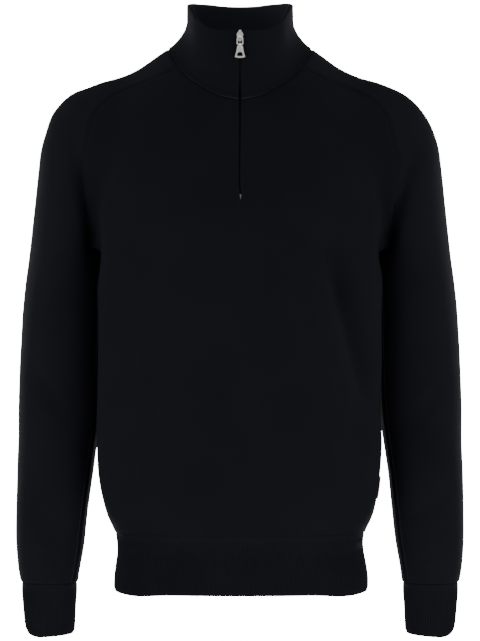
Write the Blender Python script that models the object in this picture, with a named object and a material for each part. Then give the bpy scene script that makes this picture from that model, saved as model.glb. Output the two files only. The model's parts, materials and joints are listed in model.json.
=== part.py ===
"""A quarter-zip knitted pullover, filled out as when it is worn, with nobody in it.

Metres, +Z up. -Y is the front and +X is the wearer's left. The origin is the middle of the neck
base, between the two points where the shoulders meet the neck, where a wearer carries it.

The outside of the body and sleeves is one surface, where shell() is nought: an oval trunk and two
oval sleeves, run together above the underarms and rounded off by the line of the shoulders. Each
cut piece is a grid of points on that surface, from seam to seam, and wall() gives it its thickness.
"""

import bpy
import numpy as np

MM = 0.001

# Driving sizes
WALL = 2.0 * MM  # one layer of the knitted cloth
COLLAR_WALL = 3.4 * MM  # the collar is two layers
FACING_WALL = 1.6 * MM  # the collar's outer layer alone, in front of the zip
SEAM_GAP = 0.3 * MM
UNDERARM_Z = -246 * MM
UNDERARM_REACH = 24 * MM  # how far the seams run level from the underarm before they rise
BAND_SEAM_Z = -594 * MM
SLIT_END_Z = -179 * MM

# Points across and along each piece
FRONT_HALF, BACK_HALF, AROUND_ARM = 12, 9, 18
SIDE_ROWS, ARMHOLE_ROWS, SLIT_ROWS = 12, 13, 5  # band to underarm, on to the neck, and of these to the slit
SLEEVE_LEVELS = (-660, -648, -630, -604, -572, -536, -498, -460, -422, -384, -346, -310, -276)

# The trunk by height: z, half width, y of the widest point, depth before it, depth behind it (mm)
TRUNK = [
    (-700, 158, -12, 100, 116),
    (-613, 153, -12, 101, 115),
    (-594, 156.5, -13, 105, 117),
    (-575, 165, -15, 110, 122),
    (-550, 172, -18, 112, 127),
    (-520, 176, -20, 113, 131),
    (-480, 179, -22, 112, 132),
    (-420, 180, -22, 111, 130),
    (-340, 179, -22, 112, 133),
    (-246, 180, -21, 113, 138),
    (-180, 179, -16, 114, 138),
    (-120, 174, -10, 109, 130),
    (-60, 166, -4, 99, 118),
    (0, 150, 0, 88, 104),
    (60, 140, 0, 80, 95),
]
TRUNK_SQUARENESS = (2.35, 2.05)  # before and behind: 2 is an ellipse, more is squarer

# The sleeve by height: z, centre x, centre y, half width, half depth (mm)
SLEEVE = [
    (-740, 241, -14, 29, 28),
    (-664, 241.3, -12, 33, 31),
    (-645, 242.2, -9, 36.5, 37),
    (-613, 241.3, -3, 41, 43),
    (-570, 239.2, 6, 43.8, 47),
    (-520, 236, 16, 46.5, 52),
    (-480, 232.6, 24, 49.2, 55),
    (-440, 229.3, 29, 52.3, 58),
    (-400, 227.8, 32, 52.4, 59),
    (-340, 226, 34, 51, 61),
    (-280, 223.2, 33, 48.3, 62),
    (-246, 220.8, 31, 46.6, 63),
    (-190, 209.5, 24, 51, 66),
    (-120, 197, 15, 57, 66),
    (-60, 184, 8, 62, 64),
    (60, 170, 4, 70, 60),
]
SLEEVE_SQUARENESS = 2.1

# The line of the shoulders: x, ridge z, ridge y, drop 60 mm off the ridge (mm)
SHOULDER = [
    (0, 40, 2, 34),
    (60, 32, 3, 34),
    (89, 18, 4, 36),
    (128, -7.6, 5, 40),
    (150, -18.3, 6, 44),
    (179, -27, 8, 48),
    (206, -38, 10, 50),
    (250, -60, 12, 50),
    (300, -88, 12, 50),
]
SHOULDER_ROUNDING = 46 * MM
# How softly trunk and sleeve run together, by height: z, rounding (mm)
ARMHOLE_ROUNDING = [(-300, 3), (-246, 4), (-225, 14), (-200, 32), (-150, 55), (0, 60)]

# Soft folds: x and z where one starts and ends, y on its side of the cloth, half width, height (mm).
# A height below nought is a hollow.
FOLDS = [
    (104, -232, 174, -467, -1, 30, 7),
    (150, -250, 190, -440, -1, 26, -6),
    (-114, -285, -100, -530, -1, 34, -4.5),
    (-150, -170, -60, -190, -1, 40, 3),
    (212, -150, 262, -330, -1, 24, 5),
    (-212, -170, -258, -330, -1, 24, 5),
    (262, -400, 205, -470, -1, 22, -4),
    (-262, -380, -205, -460, -1, 22, -4),
    (265, -540, 212, -580, -1, 16, -3),
    (-265, -560, -212, -600, -1, 16, -3),
    (150, -240, 60, -330, 1, 40, -4),
    (-150, -230, -70, -310, 1, 40, -4),
    (30, -470, 120, -560, 1, 34, 4),
    (-110, -430, -60, -570, 1, 34, 4),
    (258, -330, 205, -420, 1, 24, -4),
    (-258, -340, -205, -430, 1, 24, -4),
    (262, -500, 215, -560, 1, 20, 3.5),
    (-262, -490, -215, -560, 1, 20, 3.5),
]

# Sections through the top of the sleeve, from the underarm to the saddle: centre x, y, z (mm), the
# section's tilt, and the directions of the front and back seams, turned from straight ahead (degrees)
SADDLE = [
    (220.8, 31, -246, 0, -60, 300),
    (217.5, 29, -237, 3, -36, 265),
    (214, 27, -226, 6, -33, 257),
    (208, 23, -205, 12, -20, 234),
    (201, 19, -184, 19, -8, 210),
    (193, 15, -163, 27, 5, 192),
    (184, 12, -143, 36, 16, 177),
    (173, 10, -124, 46, 26, 163),
    (160, 8, -107, 57, 42, 147),
    (146, 7, -92, 67, 51, 136),
    (131, 6, -79, 75, 50, 134),
    (115, 6, -66, 81, 41, 139),
    (99, 6, -52, 84, 30, 147),
]
# The side seam, by height: z, y (mm)
SIDE_SEAM = [(-594, -28), (-540, -26), (-400, -12), (-246, 8)]

# The collar, from centre front to centre back: share of the way round, then x, y, z on the neck
# seam and x, y, z on the rim (mm)
COLLAR = [
    (0.00, 0, -94, -51.6, 0, -84, 34.1),
    (0.10, 26, -91, -46, 24, -82.5, 33.5),
    (0.17, 40, -86, -38.5, 37, -77, 36),
    (0.24, 52.5, -78, -32, 46.5, -68, 42),
    (0.31, 63, -66, -25.5, 54.6, -56, 51),
    (0.38, 73, -50, -15, 60.5, -40, 62),
    (0.45, 80.6, -33, -2.6, 64.5, -22, 70.5),
    (0.52, 86, -15, 8.5, 66, -5, 74),
    (0.59, 89, 4, 16, 65.5, 12, 74.5),
    (0.67, 86, 24, 17.5, 61, 29, 74.5),
    (0.76, 76, 44, 15, 50, 44, 74.5),
    (0.85, 58, 60, 9, 36, 54, 74),
    (0.93, 34, 70, 4, 19, 59, 73.5),
    (1.00, 0, 74, 2, 0, 60, 73.5),
]
FRONT_JOIN, BACK_JOIN = 0.385, 0.765  # where the saddle's two seams meet the neck seam
COLLAR_LEVELS = (0, 0.16, 0.34, 0.6, 1)  # shares of the collar's height
COLLAR_FLARE = (0.55, 1.8)  # share of the height, and power, of the sweep down to the shoulder
COLLAR_CROWN = 0.9 * MM

# The ribbed hem: z, half width, y of the widest point, depth before, depth behind (mm)
HEM = [
    (-669, 158.5, -12, 102, 116),
    (-651, 158.5, -12, 102, 116),
    (-617, 153.5, -12, 101, 115),
    (-594, 156, -13, 104.5, 116.5),
]
HEM_LEVELS = (-669, -617, -594)
HEM_RIBS, HEM_RIB_HEIGHT, HEM_WALL = 280, 0.9 * MM, 2.4 * MM
# The ribbed cuff: z, centre x, centre y, half width, half depth (mm)
CUFF = [
    (-729, 240.6, -14, 28, 27.5),
    (-715, 241.4, -13.8, 30, 29),
    (-690, 241.6, -13, 31.6, 30.2),
    (-660, 241.4, -12, 33.4, 31.8),
]
CUFF_LEVELS = (-729, -714, -688, -660)
CUFF_RIBS, CUFF_RIB_HEIGHT, CUFF_WALL = 64, 0.9 * MM, 2.2 * MM

# The zip
# The slit between the two front edges: z, width (mm)
SLIT = [(-185, 1.6), (-100, 1.6), (-80, 2.4), (-60, 4.4), (-46, 4.4), (-30, 2.2), (0, 1.8), (80, 2.0)]
FACING = 9 * MM  # from the slit's middle to the first column of stitches
TAPE_DEPTH, TAPE_THICK = 2.7 * MM, 0.6 * MM
TAPE_EDGE, TAPE_OUTER = 2.3 * MM, 7.2 * MM
CHAIN_HALF, CHAIN_THICK = 2.0 * MM, 1.6 * MM
TAPE_SPAN, CHAIN_SPAN, STOP_SPAN = (-188, 31), (-175.4, 26.6), (-180.6, -175.8)  # z (mm)
HINGE_Z = 26.5 * MM  # where the pull hangs on the slider
HINGE_OUT = 3.3 * MM  # how far that is in front of the collar
LINK_LENGTH = 11.9 * MM  # from the slider's bar to the tab's bar
LINK_HALF, LINK_CORNER, LINK_SIDE = 3.35 * MM, 1.6 * MM, 0.9 * MM  # to its bars' middles; its side bars
PIN, EYE = 0.62 * MM, 0.98 * MM  # radii of the link's bars and of the eyes round them
# Half outlines, top to bottom: x, z from the hinge (mm)
SLIDER_OUTLINE = [(1.2, 6.4), (1.7, 4.6), (3.6, 3.2), (3.9, 1.4), (3.9, -2.2), (3.0, -5.4), (1.9, -7.9)]
TAB_OUTLINE = [(2.9, -1.4), (3.65, -2.2), (4.3, -6.4), (5.1, -11.2), (6.2, -15.4), (3.2, -16.4), (0.9, -16.7)]
BRIDGE_OUTLINE = [(1.8, 3.4), (-0.6, 2.9), (-1.6, 1.2), (-1.75, -0.4), (-1.4, -2.0), (-0.4, -3.4), (1.8, -4.4)]  # y, z

# The side tab
TAB_SPAN = (-552, -524)  # z (mm)
TAB_WIDTH, TAB_THICK, TAB_LIFT = 12 * MM, 0.9 * MM, 0.35 * MM


# ---------------------------------------------------------------- the form


def through(rows, at):
    """Smooth curve through a table's rows, (place, value, value...) by rising place, read at `at`."""
    rows = np.asarray(rows, float)
    place, values = rows[:, 0], rows[:, 1:]
    at = np.asarray(at, float)
    step = np.diff(place)
    slope = np.diff(values, axis=0) / step[:, None]
    share = (step[1:] / (step[1:] + step[:-1]))[:, None]
    inner = slope[:-1] * share + slope[1:] * (1 - share)
    tangent = np.concatenate([slope[:1], inner, slope[-1:]])
    i = np.clip(np.searchsorted(place, at, side="right") - 1, 0, len(place) - 2)
    t = np.clip((at - place[i]) / step[i], 0, 1)[..., None]
    h = step[i][..., None]
    start = (1 + 2 * t) * (1 - t) ** 2 * values[i] + t * (1 - t) ** 2 * h * tangent[i]
    end = t * t * (3 - 2 * t) * values[i + 1] + t * t * (t - 1) * h * tangent[i + 1]
    return start + end


def ease(low, high, at):
    """Nought below low, one above high, and smooth between."""
    t = np.clip((at - low) / (high - low), 0, 1)
    return t * t * (3 - 2 * t)


def soft_min(a, b, rounding):
    """The smaller of two distances, with the corner between them rounded."""
    h = np.clip(0.5 + 0.5 * (b - a) / rounding, 0, 1)
    return b + (a - b) * h - rounding * h * (1 - h)


def oval(x, y, half_width, depth, squareness):
    """Distance outside a superellipse, below nought inside it."""
    r = ((np.abs(x) / half_width) ** squareness + (np.abs(y) / depth) ** squareness) ** (1 / squareness)
    return np.hypot(x, y) * (1 - 1 / np.maximum(r, 1e-6))


def trunk(p):
    half_width, middle, before, behind = np.moveaxis(through(TRUNK, p[..., 2] / MM) * MM, -1, 0)
    y = p[..., 1] - middle
    front, back = TRUNK_SQUARENESS
    return np.where(y < 0, oval(p[..., 0], y, half_width, before, front), oval(p[..., 0], y, half_width, behind, back))


def sleeve(p):
    x, y, half_width, half_depth = np.moveaxis(through(SLEEVE, p[..., 2] / MM) * MM, -1, 0)
    return oval(np.abs(p[..., 0]) - x, p[..., 1] - y, half_width, half_depth, SLEEVE_SQUARENESS)


def shoulder(p):
    ridge, middle, drop = np.moveaxis(through(SHOULDER, np.abs(p[..., 0]) / MM) * MM, -1, 0)
    off = (p[..., 1] - middle) / (60 * MM)
    return (p[..., 2] - ridge + drop * 2.4 * (np.hypot(1, off) - 1)) * 0.8


def folds(p):
    """How far the soft folds lift the cloth: a bell across each line, fading out at its two ends."""
    lift = np.zeros(p.shape[:-1])
    for x0, z0, x1, z1, side, half_width, height in FOLDS:
        start, run = np.array([x0, z0]) * MM, np.array([x1 - x0, z1 - z0]) * MM
        at = p[..., [0, 2]] - start
        share = at @ run / (run @ run)
        across = (at[..., 1] * run[0] - at[..., 0] * run[1]) / np.hypot(*run)
        bell = np.exp(-((across / (half_width * MM)) ** 2))
        ends = ease(-0.25, 0.3, share) * (1 - ease(0.7, 1.25, share))
        lift += height * MM * bell * ends * ease(-30 * MM, 40 * MM, side * p[..., 1])
    return lift


def folded(grid, normals):
    """A piece's points lifted by the folds, but for its lowest row, which meets a band."""
    lift = folds(grid)
    lift[:2] *= [[0], [0.6]]
    return grid + normals * lift[..., None]


def shell(p, piece="all"):
    """Distance outside the unfolded garment. Below the underarm body and sleeves are parted."""
    body, arms = trunk(p), sleeve(p)
    apart = 60 * MM * ease(8 * MM, -16 * MM, p[..., 2] - UNDERARM_Z) if piece != "all" else 0
    if piece == "body":
        arms = arms + apart
    if piece == "sleeve":
        body = body + apart
    sides = soft_min(body, arms, through(ARMHOLE_ROUNDING, p[..., 2] / MM)[..., 0] * MM)
    return -soft_min(-sides, -shoulder(p), SHOULDER_ROUNDING)


def normals_at(p, piece):
    """The way out of the cloth at each point: the direction in which shell() grows."""
    step = 0.2 * MM
    rise = [shell(p + d, piece) - shell(p - d, piece) for d in np.eye(3) * step]
    n = np.stack(rise, -1)
    return n / np.linalg.norm(n, axis=-1, keepdims=True)


def settle(p, piece, rounds=10, level=0.0):
    """Points moved on to the surface, each along its own normal, or level where `level` is one."""
    for _ in range(rounds):
        n = normals_at(p, piece)
        n = np.stack([n[..., 0], n[..., 1], n[..., 2] * (1 - level)], -1)
        n /= np.linalg.norm(n, axis=-1, keepdims=True)
        step = 0.2 * MM
        growth = (shell(p + n * step, piece) - shell(p - n * step, piece)) / (2 * step)
        p = p - (shell(p, piece) / np.maximum(growth, 0.3))[..., None] * n
    return p


def cast(origin, direction, piece, rounds=60):
    """Where straight lines from inside the garment come out through the surface."""
    reach = np.full(direction.shape[:-1], 8 * MM)
    for _ in range(rounds):
        reach = reach - 0.85 * shell(origin + reach[..., None] * direction, piece)
    return origin + reach[..., None] * direction


# ---------------------------------------------------------------- meshes


def finish(name, colour, roughness, metallic=0.0):
    """A plain material for one object."""
    made = bpy.data.materials.new(name)
    made.use_nodes = True
    shader = made.node_tree.nodes["Principled BSDF"]
    shader.inputs["Base Color"].default_value = (*colour, 1)
    shader.inputs["Roughness"].default_value = roughness
    shader.inputs["Metallic"].default_value = metallic
    return made


def knit(name):
    return finish(f"{name}_knit", (0.0060, 0.0065, 0.0086), 0.9)


def steel(name):
    return finish(f"{name}_metal", (0.62, 0.60, 0.57), 0.28, 1.0)


def add_object(name, points, faces, look, sharp=50):
    """A mesh object from points and faces, turned to face out, with edges over `sharp` degrees hard."""
    points = np.asarray(points, float)
    triangles = [(f[0], f[k], f[k + 1]) for f in faces for k in range(1, len(f) - 1)]
    if np.linalg.det(points[np.array(triangles)]).sum() < 0:
        faces = [f[::-1] for f in faces]
    mesh = bpy.data.meshes.new(name)
    mesh.from_pydata(points.tolist(), [], [[int(v) for v in f] for f in faces])
    mesh.shade_smooth()
    mesh.set_sharp_from_angle(angle=np.radians(sharp))
    mesh.materials.append(look)
    made = bpy.data.objects.new(name, mesh)
    bpy.context.collection.objects.link(made)
    return made


def grid_faces(index):
    """Quads between the rows and columns of an index grid; one whose corners meet is a triangle."""
    corners = np.stack([index[:-1, :-1], index[:-1, 1:], index[1:, 1:], index[1:, :-1]], -1)
    faces = []
    for f in corners.reshape(-1, 4).tolist():
        kept = [v for k, v in enumerate(f) if v != f[k - 1]]
        if len(kept) > 2:
            faces.append(kept)
    return faces


def open_edges(faces):
    """The directed edges that only one face has."""
    edges = {(f[k - 1], v) for f in faces for k, v in enumerate(f)}
    return sorted((a, b) for a, b in edges if (b, a) not in edges)


def wall(name, outer, inner, look, index=None, breaks=(), crown=0.0):
    """A closed wall between two grids of points.

    `index` gives points of the grid that are one the same number, `breaks` are the columns that
    aren't joined to the next one, and `crown` is how far the last row's edge is rounded up."""
    rows, columns = outer.shape[:2]
    if index is None:
        index = np.arange(rows * columns).reshape(rows, columns)
    spans = np.split(np.arange(columns), [column + 1 for column in breaks])
    faces = [f for span in spans for f in grid_faces(index[:, span])]
    used, number = np.unique([v for f in faces for v in f], return_inverse=True)
    ends = np.cumsum([len(f) for f in faces])[:-1]
    faces = [part.tolist() for part in np.split(number, ends)]
    count = len(used)
    points = [outer.reshape(-1, 3)[used], inner.reshape(-1, 3)[used]]
    crest = {}
    if crown:
        top = np.flatnonzero(np.isin(used, index[-1]))
        crest = {int(v): 2 * count + k for k, v in enumerate(top)}
        points.append((points[0][top] + points[1][top]) / 2 + (0, 0, crown))
    rims = []
    for a, b in open_edges(faces):
        over_a, over_b = [crest[a]] if a in crest else [], [crest[b]] if b in crest else []
        if over_a and over_b:
            rims += [[b, a, *over_a, *over_b], [*over_b, *over_a, a + count, b + count]]
        else:
            rims.append([b, a, *over_a, a + count, b + count, *over_b])
    backs = [[v + count for v in f[::-1]] for f in faces]
    return add_object(name, np.concatenate(points), faces + backs + rims, look)


def part_seam(grid, normals, line, inward):
    """Moves one edge line of a grid half a seam gap into its own piece, along the cloth."""
    edge = grid[line]
    across = np.cross(np.gradient(edge, axis=0), normals[line])
    across /= np.linalg.norm(across, axis=-1, keepdims=True)
    across *= np.sign(((grid[inward] - edge) * across).sum(-1))[:, None]
    grid[line] = edge + across * SEAM_GAP / 2


def mirrored(points):
    return points * (-1, 1, 1)


# ---------------------------------------------------------------- seams


def shares_along(line, count, first=None, spare=0.0):
    """Shares 0 to 1 that part a line evenly by length, after a first part `first` long if given.
    The last part is `spare` longer than the others."""
    length = np.concatenate([[0], np.cumsum(np.linalg.norm(np.diff(line, axis=0), axis=1))])
    wanted = np.linspace(0, length[-1] - spare, count + 1)
    if first:
        wanted[1:] = np.linspace(first, length[-1] - spare, count)
    wanted[-1] = length[-1]
    return np.interp(wanted, length, np.linspace(0, 1, len(line)))


def neck_shares(start, end, count, first=None):
    """Shares of the way round the neck seam, from `start` to `end`, evenly spaced."""
    fine = through(COLLAR, np.linspace(start, end, 200))[:, :3] * MM
    return start + (end - start) * shares_along(fine, count, first)


def neck_seam(shares):
    return settle(through(COLLAR, shares)[:, :3] * MM, "all")


def side_seam():
    """The left side seam, from the hem band to the underarm."""
    z = np.linspace(BAND_SEAM_Z, UNDERARM_Z, SIDE_ROWS + 1)
    start = np.stack([np.zeros_like(z), through(SIDE_SEAM, z / MM)[:, 0] * MM, z], -1)
    return cast(start, np.tile([1.0, 0, 0], (len(z), 1)), "body")


def directions(tilt, turn):
    """Ways out in a section of the sleeve that leans by `tilt`: 0 is ahead, 90 outwards or up."""
    tilt, turn = np.radians(tilt), np.radians(turn)
    return np.stack([np.sin(turn) * np.cos(tilt), -np.cos(turn), np.sin(turn) * np.sin(tilt)], -1)


def armhole_seams():
    """The left armhole's front and back seams, from the underarm to the neck seam."""
    table = np.array(SADDLE)
    seams = cast(table[:, None, :3] * MM, directions(table[:, 3:4], table[:, 4:]), "all")
    seams[0] = side_seam()[-1]
    ends = neck_seam(np.array([FRONT_JOIN, BACK_JOIN]))
    return np.concatenate([seams, ends[None]]).transpose(1, 0, 2)


# ---------------------------------------------------------------- body and sleeves


def half_panel(seam, side, count, neck, heights):
    """Points of the left half of the front (side -1) or back (side 1), from the middle to the seam.

    Each row starts as a quarter of an oval from the middle line to the seam and is eased over near
    the top towards the neck seam. It is settled on the surface and shared out evenly by length."""
    rows = len(seam)
    base = np.stack([np.zeros(rows), seam[:, 1], seam[:, 2]], -1)
    start = np.stack([np.zeros(rows), seam[:, 1], heights], -1)
    middle = cast(start, np.tile([0.0, side, 0], (rows, 1)), "body")
    turn = np.linspace(0, np.pi / 2, 61)[:, None]
    fine = base[:, None] + (seam - base)[:, None] * np.sin(turn) + (middle - base)[:, None] * np.cos(turn)
    along = np.linspace(0, 1, 61)
    top = np.stack([np.interp(along, np.linspace(0, 1, count + 1), neck[:, k]) for k in range(3)], -1)
    easing = ease(0, 1, (np.arange(rows) - SIDE_ROWS) / ARMHOLE_ROWS)[:, None]
    fine = settle(fine + easing[..., None] * (top - fine[-1]), "body", level=1 - easing)
    fine[:, -1] = seam
    grid = np.empty((rows, count + 1, 3))
    for row, line in enumerate(fine):
        spare = UNDERARM_REACH * ease(SIDE_ROWS - 4, SIDE_ROWS, row) if row <= SIDE_ROWS else 0
        shares = shares_along(line, count, FACING if side < 0 else None, spare)
        grid[row] = np.stack([np.interp(shares, along, line[:, k]) for k in range(3)], -1)
    grid = settle(grid, "body", level=1 - easing)
    grid[:, -1] = seam
    grid[-1] = neck
    grid[:, 0, 0] = 0
    return grid


def panel(name, half, slit_row=None):
    """The front or back as a wall, from its left half. The middle line is there twice: its two
    lines are one as far up as `slit_row`, and above that they are the edges of the slit."""
    grid = np.concatenate([mirrored(half[:, ::-1]), half], 1)
    rows, columns = grid.shape[:2]
    left, right = columns // 2, columns // 2 - 1
    normals = normals_at(grid, "body")
    grid = folded(grid, normals)
    part_seam(grid, normals, np.s_[:, 0], np.s_[:, 1])
    part_seam(grid, normals, np.s_[:, -1], np.s_[:, -2])
    for half_row in (np.s_[:left], np.s_[left:]):
        part_seam(grid, normals, np.s_[0, half_row], np.s_[1, half_row])
        part_seam(grid, normals, np.s_[-1, half_row], np.s_[-2, half_row])
    inner = grid - normals * WALL
    index = np.arange(rows * columns).reshape(rows, columns)
    joined = rows if slit_row is None else slit_row + 1
    index[:joined, right] = index[:joined, left]
    half_slit = through(SLIT, grid[joined:, left, 2] / MM)[:, 0] * MM / 2
    for points in (grid, inner):
        points[joined:, left, 0] = half_slit
        points[joined:, right, 0] = -half_slit
    wall(name, grid, inner, knit(name), index, breaks=(right,))
    return grid


def sleeve_points():
    """Points of the left sleeve: closed rings up to the underarm, from its seam round the front,
    then rows over the shoulder from the front armhole seam to the back one, and the neck seam."""
    front, back = armhole_seams()
    table = np.array(SADDLE)
    turn = np.linspace(table[:, 4], table[:, 5], AROUND_ARM + 1, axis=1)
    upper = cast(table[:, None, :3] * MM, directions(table[:, 3:4], turn), "sleeve")
    upper[1:, 0], upper[1:, -1] = front[1:-1], back[1:-1]
    levels = np.array(SLEEVE_LEVELS, float)
    centres = np.concatenate([through(SLEEVE, levels)[:, :2], levels[:, None]], 1) * MM
    gather = ease(-400, -246, levels)[:, None]
    ring_turn = turn[0] + (turn[1] - turn[0]) * gather
    ring_turn[:, [0, -1]] = turn[0, [0, -1]]
    lower = cast(centres[:, None], directions(0, ring_turn), "sleeve")
    upper[0, 1:-1] = cast(table[:1, None, :3] * MM, directions(0, turn[1:2, 1:-1]), "sleeve")
    end = neck_seam(neck_shares(FRONT_JOIN, BACK_JOIN, AROUND_ARM))
    return np.concatenate([lower, upper, end[None]])


def sleeve_wall(name, grid):
    """One sleeve as a wall; its rings are closed up to the underarm."""
    normals = normals_at(grid, "sleeve")
    grid = folded(grid, normals)
    underarm = len(SLEEVE_LEVELS)
    seams = np.s_[underarm + 1 :]
    part_seam(grid, normals, (seams, 0), (seams, 1))
    part_seam(grid, normals, (seams, -1), (seams, -2))
    part_seam(grid, normals, np.s_[0, :], np.s_[1, :])
    part_seam(grid, normals, np.s_[-1, :], np.s_[-2, :])
    index = np.arange(grid.shape[0] * grid.shape[1]).reshape(grid.shape[:2])
    index[: underarm + 1, -1] = index[: underarm + 1, 0]
    wall(name, grid, grid - normals * WALL, knit(name), index)


# ---------------------------------------------------------------- collar


def collar():
    """A funnel collar of two layers from the neck seam to the rim, open at centre front."""
    shares = np.concatenate([
        neck_shares(0, FRONT_JOIN, FRONT_HALF, FACING),
        neck_shares(FRONT_JOIN, BACK_JOIN, AROUND_ARM)[1:],
        neck_shares(BACK_JOIN, 1, BACK_HALF)[1:],
    ])
    foot, rim = neck_seam(shares), through(COLLAR, shares)[:, 3:] * MM
    up = np.array(COLLAR_LEVELS)[:, None]
    reach, power = COLLAR_FLARE
    swept = 1 - np.clip(1 - up / reach, 0, 1) ** power
    drawn_in = up + (swept - up) * np.sin(np.pi * shares) ** 2
    share = np.stack([drawn_in, drawn_in, np.tile(up, (1, len(shares)))], -1)
    half = foot + (rim - foot) * share
    grid = np.concatenate([half, mirrored(half[:, -2::-1])], 1)
    around = np.gradient(grid, axis=1)
    around[:, [0, -1], 1:] = 0
    normals = np.cross(around, np.gradient(grid, axis=0))
    normals /= np.linalg.norm(normals, axis=-1, keepdims=True)
    part_seam(grid, normals, np.s_[0, :], np.s_[1, :])
    thick = np.full(grid.shape[1], COLLAR_WALL)
    thick[[0, 1, -2, -1]] = FACING_WALL
    inner = grid - normals * thick[:, None]
    half_slit = through(SLIT, grid[:, 0, 2] / MM)[:, 0] * MM / 2
    for points in (grid, inner):
        points[:, 0, 0] = half_slit
        points[:, -1, 0] = -half_slit
    grid[-1, :, 2] -= COLLAR_CROWN
    inner[-1, :, 2] -= COLLAR_CROWN
    wall("collar", grid, inner, knit("collar"), crown=COLLAR_CROWN)
    return grid


# ---------------------------------------------------------------- ribbed bands


def oval_ring(x, y, half_width, depths, squareness, count):
    """Evenly spaced points round an oval, and its directions outwards."""
    turn = np.linspace(0, 2 * np.pi, 3601)
    behind = np.sin(turn) > 0
    power = 2 / np.where(behind, squareness[1], squareness[0])
    depth = np.where(behind, depths[1], depths[0])
    across = half_width * np.sign(np.cos(turn)) * np.abs(np.cos(turn)) ** power
    along = depth * np.sign(np.sin(turn)) * np.abs(np.sin(turn)) ** power
    length = np.concatenate([[0], np.cumsum(np.hypot(np.diff(across), np.diff(along)))])
    at = np.arange(count) / count * length[-1]
    ring = np.stack([np.interp(at, length, across), np.interp(at, length, along)], -1)
    run = np.roll(ring, -1, 0) - np.roll(ring, 1, 0)
    out = np.stack([run[:, 1], -run[:, 0]], -1) / np.linalg.norm(run, axis=1)[:, None]
    return ring + (x, y), out


def ribbed_band(rings, levels, ribs, rib_height, thick, inner_count):
    """A tube with ribs raised in its outer points and a plain inside with fewer points."""
    outer, inner = [], []
    high = np.tile([0.5, -0.5], ribs)[:, None] * rib_height
    last = len(levels) - 1
    for k, z in enumerate(levels):
        ring, out = rings(z, 2 * ribs)
        plain, plain_out = rings(z, inner_count)
        z = z * MM - (SEAM_GAP / 2 if k == last else 0)
        outer.append(np.column_stack([ring + out * high, np.full(2 * ribs, z)]))
        inner.append(np.column_stack([plain - plain_out * thick, np.full(inner_count, z)]))
    outer, inner = np.array(outer), np.array(inner)
    wide = np.arange(outer.shape[0] * 2 * ribs).reshape(-1, 2 * ribs)
    narrow = wide.size + np.arange(inner.shape[0] * inner_count).reshape(-1, inner_count)
    wide, narrow = (np.concatenate([g, g[:, :1]], 1) for g in (wide, narrow))
    faces = grid_faces(wide) + [f[::-1] for f in grid_faces(narrow)]
    share = 2 * ribs // inner_count
    for row, flip in ((0, 1), (last, -1)):
        for k in range(inner_count):
            near, far = narrow[row, k], narrow[row, k + 1]
            fan = wide[row, k * share : (k + 1) * share + 1]
            half = share // 2
            rim = [[near, b, a] for a, b in zip(fan[:half], fan[1 : half + 1])]
            rim += [[far, b, a] for a, b in zip(fan[half:-1], fan[half + 1 :])]
            rim.append([near, far, fan[half]])
            faces += [f[::flip] for f in rim]
    points = np.concatenate([outer.reshape(-1, 3), inner.reshape(-1, 3)])
    return points, faces


def hem_rib():
    def rings(z, count):
        half_width, middle, before, behind = through(HEM, z) * MM
        return oval_ring(0, middle, half_width, (before, behind), TRUNK_SQUARENESS, count)

    points, faces = ribbed_band(rings, HEM_LEVELS, HEM_RIBS, HEM_RIB_HEIGHT, HEM_WALL, HEM_RIBS // 5)
    add_object("hem_rib", points, faces, knit("hem_rib"), sharp=80)


def cuffs():
    def rings(z, count):
        x, y, half_width, half_depth = through(CUFF, z) * MM
        return oval_ring(x, y, half_width, (half_depth, half_depth), (SLEEVE_SQUARENESS,) * 2, count)

    points, faces = ribbed_band(rings, CUFF_LEVELS, CUFF_RIBS, CUFF_RIB_HEIGHT, CUFF_WALL, CUFF_RIBS // 2)
    add_object("cuff_left", points, faces, knit("cuff_left"), sharp=80)
    add_object("cuff_right", mirrored(points), faces, knit("cuff_right"), sharp=80)


# ---------------------------------------------------------------- side tab


def side_tab(front):
    """A small folded tab caught in the left side seam, lying forward on the front panel."""
    low, high, reach = TAB_SPAN[0] * MM, TAB_SPAN[1] * MM, TAB_WIDTH
    seam, beside = front[:, -1], front[:, -2]
    crossed = [z for z in seam[:, 2] if low < z < high]
    z = np.array([low, *crossed, high])

    def read(line):
        return np.stack([np.interp(z, line[:, 2], line[:, k]) for k in range(3)], -1)

    forward = read(beside) - read(seam)
    forward *= reach / np.linalg.norm(forward, axis=1)[:, None]
    grid = np.stack([read(seam) + forward * 0.06, read(seam) + forward], 1)
    normals = normals_at(grid, "body")
    outer, inner = grid + normals * (TAB_LIFT + TAB_THICK), grid + normals * TAB_LIFT
    wall("side_tab", outer, inner, finish("side_tab_weave", (0.012, 0.014, 0.03), 0.75))


# ---------------------------------------------------------------- zip


def loft(sections, closed=False):
    """Points and faces of a bar through a row of sections: a ring if closed, or else with two ends."""
    rows, around = sections.shape[:2]
    index = np.arange(rows * around).reshape(rows, around)
    index = np.concatenate([index, index[:, :1]], 1)
    if closed:
        index = np.concatenate([index, index[:1]], 0)
    faces = grid_faces(index)
    if not closed:
        faces += [index[0, -2::-1].tolist(), index[-1, :-1].tolist()]
    return sections.reshape(-1, 3), faces


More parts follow.
